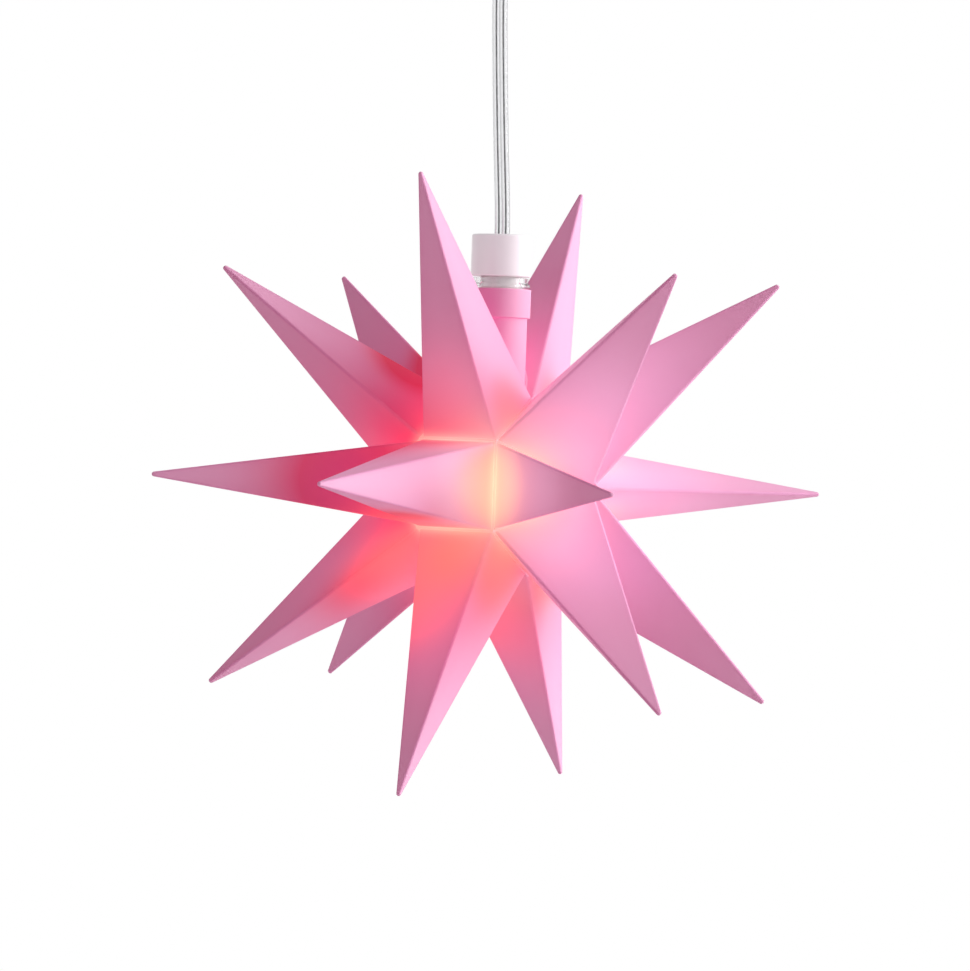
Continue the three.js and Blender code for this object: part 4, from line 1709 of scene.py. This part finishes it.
@dataclass
class CeilingFitting:
    """Plate, cup, swivelling cord grip, and the knot that holds the cable in it."""

    rise: float = 127.0
    rim_gap: float = 0.25
    fitting_sides: int = 120
    cup_radius: float = 17.0
    cup_wall: float = 1.3
    cup_floor: float = 115.75
    cup_lip_round: float = 0.12
    cup_round: float = 0.3
    cup_step_round: float = 0.4
    shoulder_place: Pair = (11.0, 121.75)
    shoulder_radius: float = 6.0
    shoulder_steps: tuple[int, int] = (18, 12)
    groove_foot: float = 123.4
    groove_depth: float = 0.25
    groove_slope: float = 0.15
    groove_height: float = 0.6
    seat_gap: float = 0.25
    seat_lip_angle: float = 30.0
    seat_end_angle: float = -26.0
    seat_steps: int = 8
    plate_foot: float = 125.0
    plate_radius: float = 15.45
    plate_rim: float = 2.2
    plate_rim_width: float = 1.2
    plate_foot_round: float = 0.2
    plate_rim_rounds: Pair = (0.25, 0.35)
    plate_edge_round: float = 0.3
    ring_radii: Pair = (13.6, 5.2)
    ring_width: float = 0.8
    ring_slope: float = 0.1
    ring_depth: float = 0.3
    screw_offset: float = 10.0
    screw_radius: float = 1.9
    screw_head_radius: float = 3.4
    screw_head_depth: float = 1.5
    supply_offset: float = 8.0
    supply_radius: float = 2.6
    hole_sides: int = 40
    hole_margin: float = 1.0
    ball_radius: float = 5.0
    ball_centre: float = 114.0
    ball_top: float = 118.1
    ball_steps: int = 28
    ball_dent: tuple[float, float, float] = (1.6, 1.5, 0.6)
    ball_dent_round: float = 0.15
    mouth_foot: float = 105.0
    mouth_radius: float = 1.6
    mouth_step: float = 0.2
    mouth_round: float = 0.05
    mouth_end_angle: float = 8.0
    mouth_steps: int = 10
    sleeve_radius: float = 2.2
    sleeve_foot_step: float = 0.15
    sleeve_foot_round: float = 0.1
    rib_count: int = 4
    rib_foot: float = 0.8
    rib_pitch: float = 0.75
    rib_inset: float = 0.12
    rib_taper: float = 0.03
    rib_depth: float = 0.16
    rib_levels: tuple[float, float, float] = (0.1, 0.28, 0.38)
    grip_sides: int = 72
    knot_height: float = 120.3
    knot_size: float = 0.62
    knot_wave: float = 1.25
    knot_radius: float = 0.62
    knot_steps: int = 120
    knot_sides: int = 14
    stub_radius: float = 0.6
    stub_steps: int = 8
    stubs: tuple[tuple[float, float, float], ...] = ((117.5, 120.2, 0.55), (120.2, 122.3, -0.55))

    def cup(self) -> Shell:
        """Bell with a spherical seat, a rolled lip and a fine groove above the shoulder."""
        seat = self.ball_radius + self.seat_gap
        lip_angle = math.radians(self.seat_lip_angle)
        lip = (seat * math.cos(lip_angle), self.ball_centre - seat * math.sin(lip_angle))
        rim_top = self.rise - self.rim_gap
        wall, floor = self.cup_wall, self.cup_floor
        groove = self.cup_radius - self.groove_depth
        low, high = self.groove_foot, self.groove_foot + self.groove_height
        outer_steps, inner_steps = self.shoulder_steps
        return turned(
            [
                Corner(*lip, self.cup_lip_round),
                Corner(lip[0] + wall, lip[1], self.cup_round),
                Corner(seat + wall, floor - wall, self.cup_round),
                Corner(seat + 2 * wall, floor, self.cup_step_round),
                *arc_profile(*self.shoulder_place, self.shoulder_radius, -90.0, 0.0, outer_steps),
                Corner(self.cup_radius, low),
                Corner(groove, low + self.groove_slope),
                Corner(groove, high - self.groove_slope),
                Corner(self.cup_radius, high),
                Corner(self.cup_radius, rim_top, self.cup_round),
                Corner(self.cup_radius - wall, rim_top, self.cup_round),
                *arc_profile(*self.shoulder_place, self.shoulder_radius - wall, 0.0, -90.0, inner_steps),
                Corner(seat, floor + wall),
                *arc_profile(0.0, self.ball_centre, seat, 0.0, self.seat_end_angle, self.seat_steps),
            ],
            self.fitting_sides,
        )

    def plate(self) -> Shell:
        """Plate with a snap rim and moulded rings."""
        inner = self.plate_radius - self.plate_rim_width
        foot, rim_foot = self.plate_foot, self.plate_foot - self.plate_rim
        inner_round, outer_round = self.plate_rim_rounds
        low = self.rise - self.ring_depth
        corners = [
            Corner(0.0, foot),
            Corner(inner, foot, self.plate_foot_round),
            Corner(inner, rim_foot, inner_round),
            Corner(self.plate_radius, rim_foot, outer_round),
            Corner(self.plate_radius, self.rise, self.plate_edge_round),
        ]
        for radius in self.ring_radii:
            corners += [
                Corner(radius, self.rise),
                Corner(radius - self.ring_slope, low),
                Corner(radius - self.ring_width + self.ring_slope, low),
                Corner(radius - self.ring_width, self.rise),
            ]
        return turned([*corners, Corner(0.0, self.rise)], self.fitting_sides)

    def holes(self) -> list[Shell]:
        """Cutters of the plate's two countersunk screw holes and its supply hole."""
        foot, top = self.plate_foot - self.hole_margin, self.rise + self.hole_margin
        sink = [
            Corner(0.0, foot),
            Corner(self.screw_head_radius, foot),
            Corner(self.screw_head_radius, self.plate_foot),
            Corner(self.screw_radius, self.plate_foot + self.screw_head_depth),
            Corner(self.screw_radius, top),
            Corner(0.0, top),
        ]
        screws = [
            turned(sink, self.hole_sides, Vector((side * self.screw_offset, 0, 0))) for side in (1, -1)
        ]
        supply = column(self.supply_radius, foot, top)
        return [*screws, turned(supply, self.hole_sides, Vector((0, self.supply_offset, 0)))]

    def grip(self) -> Shell:
        """Ball with a ribbed, slightly tapered sleeve."""
        lower = math.degrees(math.acos(self.sleeve_radius / self.ball_radius))
        upper = math.degrees(math.asin((self.ball_top - self.ball_centre) / self.ball_radius))
        foot, mouth = self.mouth_foot, self.mouth_radius
        corners = [
            *arc_profile(0.0, foot, mouth, 90.0, self.mouth_end_angle, self.mouth_steps),
            Corner(mouth + self.mouth_step, foot, self.mouth_round),
            Corner(
                self.sleeve_radius - self.sleeve_foot_step,
                foot + self.sleeve_foot_step,
                self.sleeve_foot_round,
            ),
        ]
        for rib in range(self.rib_count):
            low = foot + self.rib_foot + rib * self.rib_pitch
            outer = self.sleeve_radius - self.rib_inset + self.rib_taper * rib
            start, end, top = (low + rise for rise in self.rib_levels)
            corners += [
                Corner(outer, low),
                Corner(outer - self.rib_depth, start),
                Corner(outer - self.rib_depth, end),
                Corner(outer, top),
            ]
        edge, floor, depth = self.ball_dent
        corners += [
            *arc_profile(0.0, self.ball_centre, self.ball_radius, -lower, upper, self.ball_steps),
            Corner(edge, self.ball_top, self.ball_dent_round),
            Corner(floor, self.ball_top - depth),
            Corner(0.0, self.ball_top - depth),
        ]
        return turned(corners, self.grip_sides)

    def knot(self) -> Shell:
        """Tight overhand knot of the split wires, with its ends down into the ball and up."""
        path = []
        for turn in turns_of(self.knot_steps):
            x = math.sin(turn) + 2 * math.sin(2 * turn)
            y = math.cos(turn) - 2 * math.cos(2 * turn)
            height = self.knot_height - self.knot_wave * math.sin(3 * turn)
            path.append(Vector((x * self.knot_size, y * self.knot_size, height)))
        sections = []
        for i in range(len(path)):
            ahead = (path[(i + 1) % len(path)] - path[i - 1]).normalized()
            side = ahead.cross(up_by(1)).normalized()
            sections.append(round_section(side, side.cross(ahead), self.knot_radius, self.knot_sides))
        made = Shell()
        made.tube(path, sections, closed=True)
        for foot, top, offset in self.stubs:
            heights = steps_between(foot, top, self.stub_steps)
            stub = [Vector((offset, 0, height)) for height in heights]
            made.rod(stub, circle(self.stub_radius, self.knot_sides))
        return made

    def build(self) -> list[bpy.types.Object]:
        """Builds and dresses the fitting.

        Returns:
            The pieces.
        """
        white = (Slot.WHITE_PLASTIC, WHITE)
        return [
            self.cup().finish("ceiling_cup_bell", Body.CEILING, *white, node="ceiling_cup"),
            self.grip().finish("cord_grip_ball", Body.GRIP, *white, node="cord_grip"),
            self.knot().finish(
                "cable_knot_loops", Body.GRIP, Slot.CLEAR_CABLE, JACKET, Edge.SOFT, "cable_knot"
            ),
            self.plate().finish(
                "ceiling_plate_disc", Body.CEILING, *white, node="ceiling_plate", cutters=self.holes()
            ),
        ]


# Studio


def direction(azimuth: float, elevation: float) -> Vector:
    """Direction from the star towards a place round it, in degrees; azimuth 0 is -Y and 90 is +X."""
    a, e = math.radians(azimuth), math.radians(elevation)
    return Vector((math.sin(a) * math.cos(e), -math.cos(a) * math.cos(e), math.sin(e)))


@dataclass(frozen=True)
class Softbox:
    """A soft lamp that looks at the star, at an azimuth counted from the camera's."""

    name: str
    azimuth: float
    elevation: float
    power: float
    size: float = 0.7
    distance: float = 1.2

    def place(self, target: Vector, camera_azimuth: float) -> None:
        """Adds the lamp.

        Args:
            target: Point that it looks at, in metres.
            camera_azimuth: The camera's azimuth, in degrees.
        """
        light = bpy.data.lights.new(self.name, "AREA")
        light.shape = "DISK"
        light.size = self.size
        light.energy = self.power
        lamp = add_object(self.name, light)
        back = direction(camera_azimuth + self.azimuth, self.elevation)
        lamp.location = target + back * self.distance
        lamp.rotation_euler = back.to_track_quat("Z", "Y").to_euler()
        lamp.visible_camera = False


@dataclass
class Studio:
    """Camera at the photograph's angle, soft lamps, a white backdrop and a pale floor."""

    azimuth: float = 27.73
    elevation: float = 1.01
    roll: float = 2.06
    distance: float = 0.711
    lens: float = 152.5
    sensor: float = 36.0
    shift: Pair = (-0.00832, -0.00112)
    clip_start: float = 0.01
    floor_drop: float = 500.0
    floor_radius: float = 1200.0
    floor_sides: int = 96
    boxes: tuple[Softbox, ...] = (
        Softbox("key_box", 90.0, 15.0, 8.5),
        Softbox("high_key_box", 90.0, 45.0, 4.8),
        Softbox("low_key_box", 90.0, -15.0, 3.4),
        Softbox("side_box", 60.0, 15.0, 2.0),
        Softbox("high_side_box", 60.0, 45.0, 0.8),
        Softbox("front_box", -30.0, 15.0, 1.8),
        Softbox("left_box", -60.0, 15.0, 0.9),
        Softbox("high_left_box", -90.0, 45.0, 0.6),
    )

    def camera(self, target: Vector) -> None:
        """Adds the camera.

        Args:
            target: Point that it looks at, in metres.
        """
        data = bpy.data.cameras.new("camera")
        data.lens = self.lens
        data.sensor_width = self.sensor
        data.shift_x, data.shift_y = self.shift
        data.clip_start = self.clip_start
        camera = add_object("camera", data)
        back = direction(self.azimuth, self.elevation)
        right = level(math.radians(self.azimuth))
        up = back.cross(right)
        lean = math.radians(self.roll)
        tilted = right * math.cos(lean) + up * math.sin(lean)
        raised = up * math.cos(lean) - right * math.sin(lean)
        turn = Matrix((tilted, raised, back)).transposed()
        camera.matrix_world = Matrix.Translation(target + back * self.distance) @ turn.to_4x4()
        bpy.context.scene.camera = camera

    def backdrop(self) -> None:
        """Gives the world a white backdrop that throws no light on surfaces."""
        world = bpy.data.worlds.new("studio")
        world.use_nodes = True
        bpy.context.scene.world = world
        graph = Graph(world.node_tree)
        white = {"Color": (1.0, 1.0, 1.0, 1.0), "Strength": graph.seen_directly()}
        back = graph.add("ShaderNodeBackground", white)
        graph.add("ShaderNodeOutputWorld", {"Surface": back.outputs[0]})

    def floor(self) -> None:
        """Adds the pale floor below the star."""
        height = STAR_CENTRE_BELOW_CEILING - self.floor_drop
        rim = in_frame(circle(self.floor_radius, self.floor_sides, height))
        mesh = bpy.data.meshes.new("floor")
        mesh.from_pydata(rim, [], [tuple(range(len(rim)))])
        mesh.materials.append(FLOOR_PAINT.material())
        add_object("floor", mesh)

    def build(self) -> None:
        """Sets up the studio."""
        bpy.context.scene.view_settings.view_transform = "Standard"
        target = Vector(in_frame([up_by(0)])[0])
        self.camera(target)
        self.backdrop()
        self.floor()
        for box in self.boxes:
            box.place(target, self.azimuth)


def main() -> None:
    """Builds the studio and the star's sub-assemblies."""
    logging.basicConfig(level=logging.INFO, format="%(message)s")
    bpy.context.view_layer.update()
    Studio().build()
    for assembly in (TwinCable(), StarBody(), NeckFitting(), Lamp(), CeilingFitting()):
        for piece in assembly.build():
            log.info("%s: %d faces", piece.name, len(piece.data.polygons))


if __name__ == "__main__":
    main()
